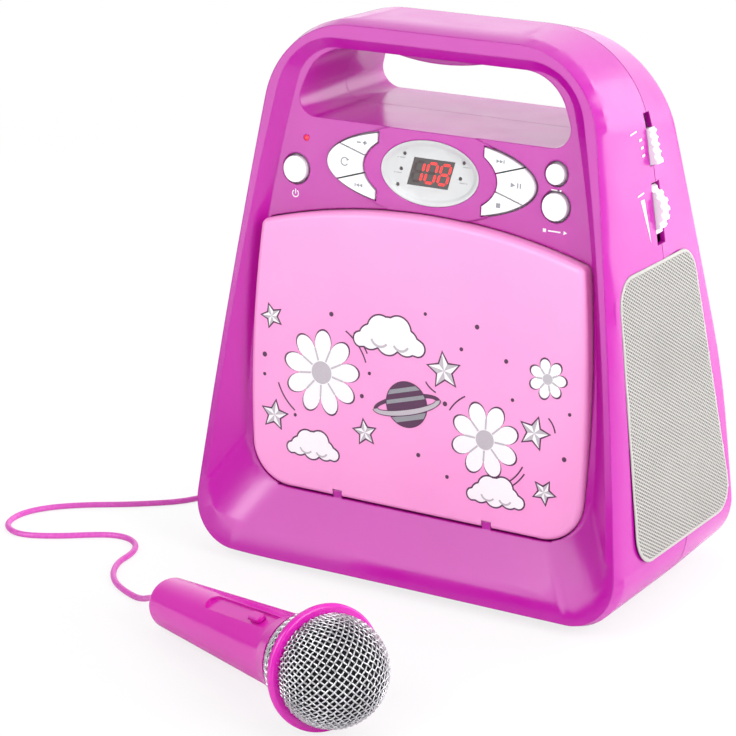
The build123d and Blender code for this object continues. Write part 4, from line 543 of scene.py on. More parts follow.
# ---------------------------------------------------------------- flat shapes for prints, in millimetres
def disc(x, y, radius, sides=32):
    return [(x + radius * cos(2 * pi * step / sides), y + radius * sin(2 * pi * step / sides))
            for step in range(sides)]


def bar(x, y, width, height, turn=0.0):
    """Rectangle about a place, turned by so many degrees."""
    c, s = cos(radians(turn)), sin(radians(turn))
    corners = [(-width / 2, -height / 2), (width / 2, -height / 2), (width / 2, height / 2), (-width / 2, height / 2)]
    return [(x + a * c - b * s, y + a * s + b * c) for a, b in corners]


def band(x, y, radius, width, start=0.0, end=360.0, steps=28):
    """Quads of a ring or part of one, angles in degrees."""
    quads = []
    for step in range(steps):
        one, two = (radians(start + (end - start) * at / steps) for at in (step, step + 1))
        near, far = radius - width / 2, radius + width / 2
        quads.append([(x + near * cos(one), y + near * sin(one)), (x + far * cos(one), y + far * sin(one)),
                      (x + far * cos(two), y + far * sin(two)), (x + near * cos(two), y + near * sin(two))])
    return quads


def pointer(x, y, size, direction=1):
    """Triangle that points right or left."""
    return [(x - direction * size / 2, y - size / 2), (x + direction * size / 2, y),
            (x - direction * size / 2, y + size / 2)][::direction]


def petals(x, y, radius, count, turn=0.0, steps=14):
    """Outline of a flower, its petals round."""
    outline = []
    for step in range(count * steps):
        angle = 2 * pi * step / (count * steps)
        reach = radius * (0.56 + 0.44 * abs(cos(count * angle / 2)) ** 0.6)
        outline.append((x + reach * cos(angle + turn), y + reach * sin(angle + turn)))
    return outline


def star(x, y, radius, turn=90.0, points=5, waist=0.46):
    outline = []
    for step in range(2 * points):
        reach = radius * (waist if step % 2 else 1.0)
        angle = radians(turn + 180.0 * step / points)
        outline.append((x + reach * cos(angle), y + reach * sin(angle)))
    return outline


def cloud(x, y, puffs, steps=120):
    """Outline round a cluster of overlapping puffs, each a place and a radius about the middle."""
    outline = []
    for step in range(steps):
        angle = 2 * pi * step / steps
        dx, dy = cos(angle), sin(angle)
        reach = 0.0
        for px, py, radius in puffs:
            along = px * dx + py * dy
            off = radius**2 - (px**2 + py**2 - along**2)
            if off > 0:
                reach = max(reach, along + sqrt(off))
        outline.append((x + reach * dx, y + reach * dy))
    return outline


def grown(outline, width):
    """Outline moved outwards by a width, its corners cut short."""
    moved, count = [], len(outline)
    for at, (x, y) in enumerate(outline):
        (ax, ay), (bx, by) = outline[at - 1], outline[(at + 1) % count]
        one, two = Vector((x - ax, y - ay)), Vector((bx - x, by - y))
        if one.length < 1e-6 or two.length < 1e-6:
            continue
        one.normalize()
        two.normalize()
        away = Vector((one.y + two.y, -one.x - two.x)).normalized()
        stretch = min(1 / max(away.dot(Vector((one.y, -one.x))), 0.3), 1.8)
        moved.append((x + away.x * width * stretch, y + away.y * width * stretch))
    return moved


def door_face(x, z, lift):
    """Place on the door's crowned face, in metres."""
    share = (z - DOOR_FOOT[1]) / (DOOR_HEAD[1] - DOOR_FOOT[1])
    y = DOOR_FOOT[0] + share * (DOOR_HEAD[0] - DOOR_FOOT[0]) - DOOR_PUFF * (1 - (2 * share - 1) ** 2)
    return Vector((x, y - lift, z)) * MM


def panel_face(x, height, lift):
    return PANEL @ Vector((x, height, lift))


def side_face(y, z, lift):
    """Place on the right outer wall ahead of the parting plane."""
    return Vector((side_half_width(z) + y * NOSE_DRAW / NOSE_DEPTH + lift, y, z)) * MM


def printed(name, shapes, surface, lift, film=0.05, strip=6.0):
    """Thin film on a surface; shapes are pairs of an outline and a material's number."""
    form = bmesh.new()
    for outline, finish in shapes:
        corners = [form.verts.new((x, y, 0)) for x, y in outline]
        form.faces.new(corners).material_index = finish
    form.normal_update()
    bmesh.ops.triangulate(form, faces=form.faces)
    lows = [vertex.co.y for vertex in form.verts]
    cut = strip * ceil(min(lows) / strip)
    while cut < max(lows):
        bmesh.ops.bisect_plane(form, geom=form.verts[:] + form.edges[:] + form.faces[:],
                               plane_co=(0, cut, 0), plane_no=(0, 1, 0))
        cut += strip
    bmesh.ops.recalc_face_normals(form, faces=form.faces)
    if form.faces and form.faces[:][0].normal.z < 0:
        bmesh.ops.reverse_faces(form, faces=form.faces)
    for vertex in form.verts:
        vertex.co = surface(vertex.co.x, vertex.co.y, lift)
    mesh = bpy.data.meshes.new(name)
    form.to_mesh(mesh)
    form.free()
    made = shown(name, mesh)
    wall = made.modifiers.new("film", "SOLIDIFY")
    wall.thickness = film * MM
    wall.offset = -1.0
    return settled(made)


# ---------------------------------------------------------------- prints on the door, the keys and the shell
DAISIES = [(-51.0, 100.0, 21.0, 9, 8.0), (40.0, 82.0, 18.0, 8, 20.0), (72.0, 117.0, 9.5, 7, 0.0)]
STARS = [(17.0, 112.0, 8.5, 98.0), (66.0, 90.0, 7.5, 76.0), (-78.0, 74.0, 7.0, 84.0), (-26.0, 74.0, 6.0, 100.0),
         (-80.0, 124.0, 5.5, 110.0), (72.0, 62.0, 5.5, 64.0)]
CLOUD_PUFFS = [(0, 1, 9.0), (-11, -2, 6.5), (11, -2, 7.0), (-5, 3, 7.5), (6, 4, 7.5), (0, -3, 7.0), (-17, -4, 4.0),
               (18, -4, 4.2)]
CLOUDS = [(-14.0, 124.0, 0.9), (46.0, 57.0, 0.7), (-56.0, 62.0, 0.68)]
PLANET = (-3.0, 92.0, 11.5)
PLANET_RING = (19.0, 5.0, 16.0)     # half widths of its ring, and the ring's lean in degrees
SPECKS = [(-84, 104, 1.3), (-84, 94, 0.9), (-28, 92, 1.1), (-24, 104, 0.9), (18, 96, 1.2), (26, 124, 1.0),
          (50, 122, 1.1), (82, 80, 1.2), (84, 102, 0.9), (4, 68, 1.1), (-46, 130, 1.2), (34, 136, 1.2),
          (54, 104, 0.9), (-66, 76, 0.9), (6, 138, 0.9), (20, 60, 1.0)]
SWINGS = [(-51.0, 100.0, 26.5, 20, 60), (-51.0, 100.0, 29.0, 28, 52), (-51.0, 100.0, 26.5, 200, 235),
          (40.0, 82.0, 22.5, 300, 335), (40.0, 82.0, 25.0, 306, 329), (40.0, 82.0, 22.5, 120, 150),
          (17.0, 112.0, 12.0, 215, 250), (66.0, 90.0, 11.0, 10, 50)]


def door_pictures():
    """Flowers, stars and clouds in dark outline, white and grey, one film over the other."""
    dark, white, grey = [], [], []
    for x, z, radius, count, turn in DAISIES:
        dark.append(petals(x, z, radius + 0.9, count, radians(turn)))
        white.append(petals(x, z, radius, count, radians(turn)))
        for step in range(count):
            angle = radians(turn) + 2 * pi * (step + 0.5) / count
            middle = radius * 0.44
            grey.append(bar(x + middle * cos(angle), z + middle * sin(angle), radius * 0.3, 0.9,
                            turn=angle * 180 / pi))
        grey.append(disc(x, z, radius * 0.27))
    for x, z, radius, turn in STARS:
        outline = star(x, z, radius, turn)
        dark.append(grown(outline, 0.8))
        white.append(outline)
        for arm in range(5):
            grey.append([(x, z), outline[2 * arm], outline[2 * arm + 1]])
    for x, z, size in CLOUDS:
        puffs = [(px * size, py * size, radius * size) for px, py, radius in CLOUD_PUFFS]
        outline = cloud(x, z, puffs)
        dark.append(grown(outline, 0.8))
        white.append(outline)
        grey += band(x - 5 * size, z - 1 * size, 5.5 * size, 1.3 * size, 200, 320, 12)
        grey += band(x + 8 * size, z - 2 * size, 5.0 * size, 1.3 * size, 210, 330, 12)
    return dark, white, grey


def planet_pictures():
    """Ringed planet in dark greys: the shade behind, the ball with its bands, and the ring's near half."""
    x, z, radius = PLANET
    wide, tall, lean = PLANET_RING
    c, s = cos(radians(lean)), sin(radians(lean))

    def hoop(reach, start, end, steps=24):
        turns = [radians(start + (end - start) * step / steps) for step in range(steps + 1)]
        flat = [((wide + reach) * cos(turn), (tall + reach) * sin(turn)) for turn in turns]
        return [(x + a * c - b * s, z + a * s + b * c) for a, b in flat]

    def arc_between(inner, outer, start, end):
        near, far = hoop(inner, start, end), hoop(outer, start, end)
        return [[near[at], far[at], far[at + 1], near[at + 1]] for at in range(len(near) - 1)]

    bands = []
    for low, high in ((-8.2, -5.4), (1.6, 3.6), (6.4, 8.6)):
        ends = [(-sqrt(radius**2 - low**2), low), (sqrt(radius**2 - low**2), low),
                (sqrt(radius**2 - high**2), high), (-sqrt(radius**2 - high**2), high)]
        bands.append([(x + (a * c - b * s) * 0.96, z + (a * s + b * c) * 0.96) for a, b in ends])
    far_ring = arc_between(-2.4, 0.0, 0, 180)
    near_rim, near_ring = arc_between(-2.9, 0.5, 180, 360), arc_between(-2.4, 0.0, 180, 360)
    return far_ring, [disc(x, z, radius, 40)], bands, near_rim, near_ring


def print_door(inks):
    dark, white, grey = door_pictures()
    far_ring, ball, bands, near_rim, near_ring = planet_pictures()
    strokes = [quad for x, z, radius, start, end in SWINGS for quad in band(x, z, radius, 0.7, start, end, 10)]
    specks = [disc(x, z, radius, 16) for x, z, radius in SPECKS]
    layers = [("door_print_outlines", dark + strokes + specks + far_ring, 0.06, inks["dark"]),
              ("door_print_white", white, 0.11, inks["white"]), ("door_print_shades", grey, 0.16, inks["grey"]),
              ("door_print_planet", ball, 0.11, inks["dark"]), ("door_print_bands", bands, 0.16, inks["slate"]),
              ("door_print_ring_edge", near_rim, 0.19, inks["dark"]),
              ("door_print_ring", near_ring, 0.22, inks["grey"])]
    for name, outlines, lift, ink in layers:
        film = printed(name, [(outline, 0) for outline in outlines], door_face, lift)
        dress(film, "door", "door_plastic", ink)


KEY_SIGNS = {
    # centre of each cap across and up the panel, then its sign
    "key_left_upper": (-36.3, 213.8, [bar(-1.6, 0, 2.2, 0.7), bar(1.8, 0, 2.2, 0.7), bar(1.8, 0, 0.7, 2.2)]),
    "key_left_middle": (-45.3, 203.7, band(0, 0, 1.9, 0.6, 30, 330, 18) + [pointer(1.9, 1.1, 1.5)]),
    "key_left_lower": (-36.7, 193.3, [pointer(-0.9, 0, 1.8, -1), pointer(0.9, 0, 1.8, -1), bar(-2.2, 0, 0.5, 1.8)]),
    "key_right_upper": (38.3, 213.8, [pointer(-0.9, 0, 1.8), pointer(0.9, 0, 1.8), bar(2.2, 0, 0.5, 1.8)]),
    "key_right_middle": (47.3, 203.7, [pointer(-1.5, 0, 2.4), bar(1.0, 0, 0.7, 2.4), bar(2.4, 0, 0.7, 2.4)]),
    "key_right_lower": (38.7, 193.3, [bar(0, 0, 2.2, 2.2)]),
}


def print_keys(ink):
    for key, (x, height, sign) in KEY_SIGNS.items():
        shapes = [([(x + a, height + b) for a, b in outline], 0) for outline in sign]
        dress(printed(key + "_sign", shapes, panel_face, KEY_TOP + 0.05), key, "fascia_plastic", ink)


def crescent(side, grow, steps=24):
    """Outline of a half-moon of keys; every amount it is grown by gives as many points."""
    (wide, tall), (near, low) = CLUSTER_OUTER, CLUSTER_INNER
    outline = []
    for a, b, way in ((wide + grow, tall + grow, 1), (near - grow, low - grow, -1)):
        end = acos((CLUSTER_TIP - grow) / a)
        outline += [(OVAL_X + side * a * cos(end * turn), OVAL_HEIGHT + b * sin(end * turn))
                    for turn in [way * (1 - 2 * step / steps) for step in range(steps + 1)]]
    return outline


def paint_key_gap_shade(ink):
    """Painted shade round the openings of the keys: dark films on the panel, and down in the dish of each round key,
    where the gaps cast their shadow.
    """
    gap_shades = []
    for side in (-1, 1):
        near, far = crescent(side, KEY_GAP + 0.03), crescent(side, KEY_GAP + KEY_SHADE_WIDTH)
        gap_shades += [[near[at - 1], far[at - 1], far[at], near[at]] for at in range(len(near))]
    dress(printed("key_cluster_rims", [(quad, 0) for quad in gap_shades], panel_face, 0.05), "cabinet", "fascia_plastic", ink)
    dish_shades = [quad for x, y, radius in ROUND_KEYS for quad in band(x, y, radius + 1.0, 0.54, steps=40)]
    dress(printed("round_key_rims", [(quad, 0) for quad in dish_shades], panel_face, -0.74), "cabinet", "fascia_plastic", ink)


def print_panel(ink, dial_ink):
    """Small white signs under the round keys, and grey ones beside the display's lamps."""
    power = band(-73.2, 184.6, 1.7, 0.5, -235, 55, 20) + [bar(-73.2, 185.6, 0.5, 2.4)]
    sing = [bar(67.7, 184.8, 6.4, 0.6), pointer(73.4, 184.8, 1.8), bar(62.6, 184.8, 1.6, 1.6)]
    repeat = [bar(66.4, 203.9, 3.2, 0.5), bar(69.6, 203.9, 0.9, 0.9)]
    dress(printed("panel_signs", [(outline, 0) for outline in power + sing + repeat], panel_face, 0.06),
          "cabinet", "white_plastic", ink)
    marks = []
    for x, up in PANEL_LEDS:
        side = -1 if x < 0 else 1
        marks += [bar(OVAL_X + x + side * 1.1, OVAL_HEIGHT + up - 2.0, 2.8, 0.5),
                  bar(OVAL_X + x + side * 3.4, OVAL_HEIGHT + up - 2.0, 0.8, 0.5)]
    dial = printed("display_marks", [(outline, 0) for outline in marks], panel_face, -0.44)
    dress(dial, "cabinet", "fascia_plastic", dial_ink)


def print_side(ink):
    """White wedge that grows with the volume, and ticks beside the slide switch."""
    wedge = [(-16.5, WHEEL_HEIGHT + 9.0), (-12.9, WHEEL_HEIGHT + 9.0), (-10.6, WHEEL_HEIGHT - 12.0)]
    ticks = [bar(-16.5, SLIDER_HEIGHT + 5.6, 6.4, 0.7, 6), bar(-10.4, SLIDER_HEIGHT + 1.4, 2.6, 1.1, 4),
             bar(-9.6, SLIDER_HEIGHT - 2.3, 2.6, 1.1, 4), bar(-9.0, SLIDER_HEIGHT - 6.0, 2.6, 1.1, 4),
             bar(-16.0, WHEEL_HEIGHT + 11.6, 6.4, 0.7, 6)]
    shapes = [(outline, 0) for outline in [wedge] + ticks]
    dress(printed("side_signs", shapes, side_face, 0.1), "cabinet", "white_plastic", ink)


# ---------------------------------------------------------------- the lit number in the display
SEGMENTS = {"a": (0.5, 1.0, 0), "b": (1.0, 0.75, 1), "c": (1.0, 0.25, 1), "d": (0.5, 0.0, 0), "e": (0.0, 0.25, 1),
            "f": (0.0, 0.75, 1), "g": (0.5, 0.5, 0)}
DIGITS = ["bc", "abcdef", "abcdefg"]
DIGIT_SIZE = (4.8, 9.4)
DIGIT_PITCH = 7.1
STROKE = 1.35


def digit_shapes(lit):
    """Outlines of the lit or the unlit segments of the three digits, leaning with the window."""
    wide, tall = DIGIT_SIZE
    outlines = []
    for place, on in enumerate(DIGITS):
        left = (place - 1) * DIGIT_PITCH - wide / 2
        for name, (across, up, upright) in SEGMENTS.items():
            if (name in on) != lit:
                continue
            x, y = left + across * wide, (up - 0.5) * tall
            half = (tall / 4 if upright else wide / 2) - 0.35
            tip = STROKE / 2
            ends = [(-half, 0), (-half + tip, -tip), (half - tip, -tip), (half, 0), (half - tip, tip), (-half + tip, tip)]
            if upright:
                ends = [(-b, a) for a, b in ends]
            outlines.append([(OVAL_X + x + a + (y + b) * WINDOW_SHEAR, OVAL_HEIGHT + y + b) for a, b in ends])
    return outlines


def light_display():
    for name, lit, material, lift in (("lit_segments", True, lit_segment(), 0.07),
                                      ("unlit_segments", False, dark_segment(), 0.06)):
        shapes = [(outline, 0) for outline in digit_shapes(lit)]
        dress(printed(name, shapes, panel_face, WINDOW_FRONT + lift), "cabinet", "window_plastic", material)


# ---------------------------------------------------------------- node trees that repeat or follow a form
def geometry_tree(name, sizes):
    """Geometry node tree with a geometry input, the named inputs that sizes lists, and a geometry output."""
    tree = bpy.data.node_groups.new(name, "GeometryNodeTree")
    sockets = tree.interface
    sockets.new_socket("Geometry", in_out="INPUT", socket_type="NodeSocketGeometry")
    for label, kind in sizes:
        sockets.new_socket(label, in_out="INPUT", socket_type=kind)
    sockets.new_socket("Geometry", in_out="OUTPUT", socket_type="NodeSocketGeometry")
    return tree, node(tree, "NodeGroupInput").outputs


def math(tree, operation, one, other=0.0):
    return node(tree, "ShaderNodeMath", {"operation": operation}, {0: one, 1: other}).outputs[0]


def finish_tree(tree, geometry, material):
    """Ends a tree: instances made real, material set, result out."""
    real = node(tree, "GeometryNodeRealizeInstances", None, {"Geometry": geometry}).outputs["Geometry"]
    painted = node(tree, "GeometryNodeSetMaterial", None, {"Geometry": real, "Material": material})
    node(tree, "NodeGroupOutput", None, {"Geometry": painted.outputs["Geometry"]})


def run_tree(name, tree, mesh, values):
    """Object that a tree makes from a mesh, as a plain mesh."""
    made = shown(name, mesh)
    modifier = made.modifiers.new(tree.name, "NODES")
    modifier.node_group = tree
    for item in tree.interface.items_tree:
        if item.item_type == "SOCKET" and item.in_out == "INPUT" and item.name in values:
            modifier[item.identifier] = values[item.name]
    return settled(made)


# ---------------------------------------------------------------- punched grilles
HOLE_PITCH = 1.8
HOLE_RADIUS = 0.66         # to its corners
GRILLE_PLATE = 0.5
HEM_WIDTH = 1.5            # plain margin round the punched field
FIELD_MARGIN = 0.8
HEM_STEPS = 9
FIELD_ROWS, FIELD_COLUMNS = 75, 91
QUARTER = Matrix.Rotation(pi / 2, 4, "Z")   # the holes' close rows run upright


def grille_outline(inset):
    """Rounded outline of the grille, drawn in by an inset; every inset gives as many points."""
    corners = [(y, (z - SPEAKER_HEIGHT) / cos(SIDE_TILT)) for y, z in GRILLE_CORNERS]
    count = len(corners)
    normals = []
    for (ax, ay), (bx, by) in zip(corners, corners[1:] + corners[:1]):
        length = hypot(bx - ax, by - ay)
        normals.append(((by - ay) / length, -(bx - ax) / length))
    outline = []
    for at in range(count):
        (nx, ny), (mx, my) = normals[at - 1], normals[at]
        reach = GRILLE_RADIUS / (1 + nx * mx + ny * my)
        centre_x, centre_y = corners[at][0] - (nx + mx) * reach, corners[at][1] - (ny + my) * reach
        start, end = atan2(ny, nx), atan2(my, mx)
        while end < start:
            end += 2 * pi
        for step in range(HEM_STEPS):
            turn = start + (end - start) * step / (HEM_STEPS - 1)
            outline.append((centre_x + (GRILLE_RADIUS - inset) * cos(turn),
                            centre_y + (GRILLE_RADIUS - inset) * sin(turn)))
    return outline


def hem_mesh():
    """Plain margin of the grille, its outer edge rolled back."""
    profile = [(0.0, -GRILLE_PLATE), (0.0, -0.45), (0.12, -0.2), (0.4, -0.03), (0.9, 0.04), (HEM_WIDTH - 0.2, 0.04),
               (HEM_WIDTH, 0.0), (HEM_WIDTH, -GRILLE_PLATE)]
    points, faces = [], []
    for inset, height in profile:
        points += [(x, y, height) for x, y in grille_outline(inset)]
    round_count, levels = len(grille_outline(0.0)), len(profile)
    for level in range(levels):
        for at in range(round_count):
            after, above = (at + 1) % round_count, (level + 1) % levels
            faces.append((level * round_count + at, level * round_count + after,
                          above * round_count + after, above * round_count + at))
    return from_points("grille_hem", points, faces)


def punched_cell():
    """One hexagon of sheet with its hole."""
    rings = [(HOLE_PITCH / sqrt(3), 0.0), (HOLE_RADIUS, 0.0), (HOLE_RADIUS, -GRILLE_PLATE),
             (HOLE_PITCH / sqrt(3), -GRILLE_PLATE)]
    points, faces = [], []
    for radius, height in rings:
        points += [(radius * cos(pi / 6 + pi / 3 * side), radius * sin(pi / 6 + pi / 3 * side), height)
                   for side in range(6)]
    for level in range(3):
        for side in range(6):
            after = (side + 1) % 6
            faces.append((level * 6 + side, level * 6 + after, level * 6 + 6 + after, level * 6 + 6 + side))
    cell = shown("punched_cell", from_points("punched_cell", points, faces))
    cell.hide_render = True
    return cell


def punching_tree(material):
    """Staggered copies of the cell wherever its middle lies over the outline."""
    tree, given = geometry_tree("punched_field", [("Cell", "NodeSocketObject"), ("Pitch", "NodeSocketFloat"),
                                                  ("Row Pitch", "NodeSocketFloat"), ("Columns", "NodeSocketInt"),
                                                  ("Rows", "NodeSocketInt")])
    grid = node(tree, "GeometryNodeMeshGrid", None, {
        "Size X": math(tree, "MULTIPLY", given["Pitch"], math(tree, "SUBTRACT", given["Columns"], 1.0)),
        "Size Y": math(tree, "MULTIPLY", given["Row Pitch"], math(tree, "SUBTRACT", given["Rows"], 1.0)),
        "Vertices X": given["Columns"], "Vertices Y": given["Rows"]}).outputs["Mesh"]
    spot = node(tree, "GeometryNodeInputPosition").outputs["Position"]
    height = node(tree, "ShaderNodeSeparateXYZ", None, {"Vector": spot}).outputs["Y"]
    row = math(tree, "ROUND", math(tree, "DIVIDE", height, given["Row Pitch"]))
    odd = math(tree, "FLOORED_MODULO", row, 2.0)
    shift = math(tree, "MULTIPLY", odd, math(tree, "MULTIPLY", given["Pitch"], 0.5))
    moved = node(tree, "GeometryNodeSetPosition", None, {
        "Geometry": grid, "Offset": node(tree, "ShaderNodeCombineXYZ", None, {"X": shift}).outputs["Vector"]})
    above = node(tree, "ShaderNodeVectorMath", {"operation": "ADD"}, {0: spot, 1: (0, 0, 1.0)}).outputs["Vector"]
    hit = node(tree, "GeometryNodeRaycast", None, {
        "Target Geometry": given["Geometry"], "Source Position": above, "Ray Direction": (0, 0, -1.0),
        "Ray Length": 2.0}).outputs["Is Hit"]
    copies = node(tree, "GeometryNodeInstanceOnPoints", None, {
        "Points": moved.outputs["Geometry"], "Selection": hit,
        "Instance": node(tree, "GeometryNodeObjectInfo", None, {"Object": given["Cell"]}).outputs["Geometry"]})
    real = node(tree, "GeometryNodeRealizeInstances", None, {"Geometry": copies.outputs["Instances"]})
    sealed = node(tree, "GeometryNodeMergeByDistance", None, {"Geometry": real.outputs["Geometry"], "Distance": 0.01})
    finish_tree(tree, sealed.outputs["Geometry"], material)
    return tree


def make_grilles(steel, felt):
    """Punched plate with its hem and the felt behind it, on both sides."""
    cell = punched_cell()
    tree = punching_tree(steel)
    row_pitch = HOLE_PITCH * sqrt(3) / 2
    field = grille_outline(FIELD_MARGIN)
    face = from_points("grille_field", [(x, y, 0.0) for x, y in field], [tuple(range(len(field)))])
    face.transform(QUARTER)
    values = {"Cell": cell, "Pitch": HOLE_PITCH, "Row Pitch": row_pitch, "Columns": FIELD_COLUMNS,
              "Rows": FIELD_ROWS}
    plate = run_tree("grille_plate", tree, face, values)
    plate.data.transform(QUARTER.inverted())
    bpy.data.objects.remove(cell)
    form = bmesh.new()
    form.from_mesh(plate.data)
    form.from_mesh(hem_mesh())
    for side, mirror in (("right", Matrix.Identity(4)), ("left", MIRROR)):
        whole = bpy.data.meshes.new(side + "_punched_grille")
        form.to_mesh(whole)
        finish_on_side(whole, mirror)
        even_shading(whole)
        dress(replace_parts(shown(whole.name, whole), side + "_grille"), "cabinet", "grille_metal", steel)
        backing = grille_outline(0.6)
        count = len(backing)
        points = [(x, y, z) for z in (-1.0, -1.12) for x, y in backing]
        sides = [(at, (at + 1) % count, count + (at + 1) % count, count + at) for at in range(count)]
        cloth = from_points(side + "_speaker_felt", points, [tuple(range(count)), tuple(range(count, 2 * count))[::-1]]
                            + sides)
        finish_on_side(cloth, mirror)
        dress(shown(cloth.name, cloth), "cabinet", "black_rubber", felt)
    form.free()
    bpy.data.objects.remove(plate)


def finish_on_side(mesh, mirror):
    """Moves a mesh from the side's own frame to its wall, faces outwards."""
    mesh.transform(mirror @ RIGHT_SIDE)
    form = bmesh.new()
    form.from_mesh(mesh)
    bmesh.ops.recalc_face_normals(form, faces=form.faces)
    form.to_mesh(mesh)
    form.free()


# ---------------------------------------------------------------- the microphone's woven ball
WIRE_PITCH = 2.6
WIRE_RADIUS = 0.42
WEAVE = 0.36               # how far a wire swings in and out over its neighbours
BALL_TURN = radians(45.0)
REAR_WIRES = 46


def wave(tree, phase, swing):
    """Height of a woven wire: a cosine of its phase in half waves."""
    return math(tree, "MULTIPLY", math(tree, "COSINE", math(tree, "MULTIPLY", phase, pi)), swing)


def wires_from(tree, lines, keep, radius):
    """Round wires along mesh lines, the points marked keep left out."""
    cut = node(tree, "GeometryNodeDeleteGeometry", {"domain": "POINT"}, {"Geometry": lines, "Selection": keep})
    curve = node(tree, "GeometryNodeMeshToCurve", None, {"Mesh": cut.outputs["Geometry"]}).outputs["Curve"]
    ring = node(tree, "GeometryNodeCurvePrimitiveCircle", None, {"Resolution": 6, "Radius": radius}).outputs["Curve"]
    return node(tree, "GeometryNodeCurveToMesh", None, {"Curve": curve, "Profile Curve": ring,
                                                        "Fill Caps": True}).outputs["Mesh"]


def line_grid(tree, count, steps, first, step_by, next_by, first_line):
    """Parallel mesh lines: one line copied beside itself."""
    line = node(tree, "GeometryNodeMeshLine", {"mode": "OFFSET"}, {
        "Count": steps, "Start Location": first, "Offset": step_by}).outputs["Mesh"]
    spots = node(tree, "GeometryNodeMeshLine", {"mode": "OFFSET"}, {
        "Count": count, "Start Location": first_line, "Offset": next_by}).outputs["Mesh"]
    copies = node(tree, "GeometryNodeInstanceOnPoints", None, {"Points": spots, "Instance": line})
    return node(tree, "GeometryNodeRealizeInstances", None, {"Geometry": copies.outputs["Instances"]}).outputs["Geometry"]


def vector(tree, x=0.0, y=0.0, z=0.0):
    return node(tree, "ShaderNodeCombineXYZ", None, {"X": x, "Y": y, "Z": z}).outputs["Vector"]


def woven_cap_tree(material):
    """Square-woven wires pressed over a ball: a flat weave wrapped from its pole."""
    tree, given = geometry_tree("woven_cap", [("Ball Radius", "NodeSocketFloat"), ("Pitch", "NodeSocketFloat"),
                                              ("Wire Radius", "NodeSocketFloat"), ("Swing", "NodeSocketFloat"),
                                              ("Reach", "NodeSocketFloat"), ("Wires", "NodeSocketInt")])
    pitch = given["Pitch"]
    half_span = math(tree, "MULTIPLY", math(tree, "SUBTRACT", given["Wires"], 1.0), math(tree, "MULTIPLY", pitch, -0.5))
    steps = math(tree, "SUBTRACT", math(tree, "MULTIPLY", given["Wires"], 2.0), 1.0)
    short = math(tree, "MULTIPLY", pitch, 0.5)
    woven = []
    for along_x in (0.0, 1.0):
        along_y = 1.0 - along_x
        first = vector(tree, math(tree, "MULTIPLY", half_span, along_x), math(tree, "MULTIPLY", half_span, along_y))
        step_by = vector(tree, math(tree, "MULTIPLY", short, along_x), math(tree, "MULTIPLY", short, along_y))
        next_by = vector(tree, math(tree, "MULTIPLY", pitch, along_y), math(tree, "MULTIPLY", pitch, along_x))
        first_line = vector(tree, math(tree, "MULTIPLY", half_span, along_y), math(tree, "MULTIPLY", half_span, along_x))
        lines = line_grid(tree, given["Wires"], steps, first, step_by, next_by, first_line)
        spot = node(tree, "GeometryNodeInputPosition").outputs["Position"]
        parts = node(tree, "ShaderNodeSeparateXYZ", None, {"Vector": spot}).outputs
        reach = node(tree, "ShaderNodeVectorMath", {"operation": "LENGTH"}, {0: spot}).outputs["Value"]
        outside = node(tree, "FunctionNodeCompare", {"data_type": "FLOAT", "operation": "GREATER_THAN"},
                       {0: reach, 1: given["Reach"]}).outputs["Result"]
        cut = node(tree, "GeometryNodeDeleteGeometry", {"domain": "POINT"}, {"Geometry": lines, "Selection": outside})
        phase = math(tree, "DIVIDE", math(tree, "ADD", parts["X"], parts["Y"]), pitch)
        swing = math(tree, "MULTIPLY", given["Swing"], 2 * along_x - 1)
        radius = math(tree, "ADD", given["Ball Radius"], wave(tree, phase, swing))
        angle = math(tree, "DIVIDE", reach, given["Ball Radius"])
        aside = node(tree, "ShaderNodeVectorMath", {"operation": "NORMALIZE"}, {0: spot}).outputs["Vector"]
        out = node(tree, "ShaderNodeVectorMath", {"operation": "SCALE"}, {
            0: aside, "Scale": math(tree, "MULTIPLY", radius, math(tree, "SINE", angle))}).outputs["Vector"]
        up = vector(tree, 0.0, 0.0, math(tree, "MULTIPLY", radius, math(tree, "COSINE", angle)))
        place = node(tree, "ShaderNodeVectorMath", {"operation": "ADD"}, {0: out, 1: up}).outputs["Vector"]
        moved = node(tree, "GeometryNodeSetPosition", None, {"Geometry": cut.outputs["Geometry"], "Position": place})
        woven.append(wires_from(tree, moved.outputs["Geometry"], False, given["Wire Radius"]))
    joined = node(tree, "GeometryNodeJoinGeometry")
    for part in woven[::-1]:
        tree.links.new(part, joined.inputs["Geometry"])
    finish_tree(tree, joined.outputs["Geometry"], material)
    return tree


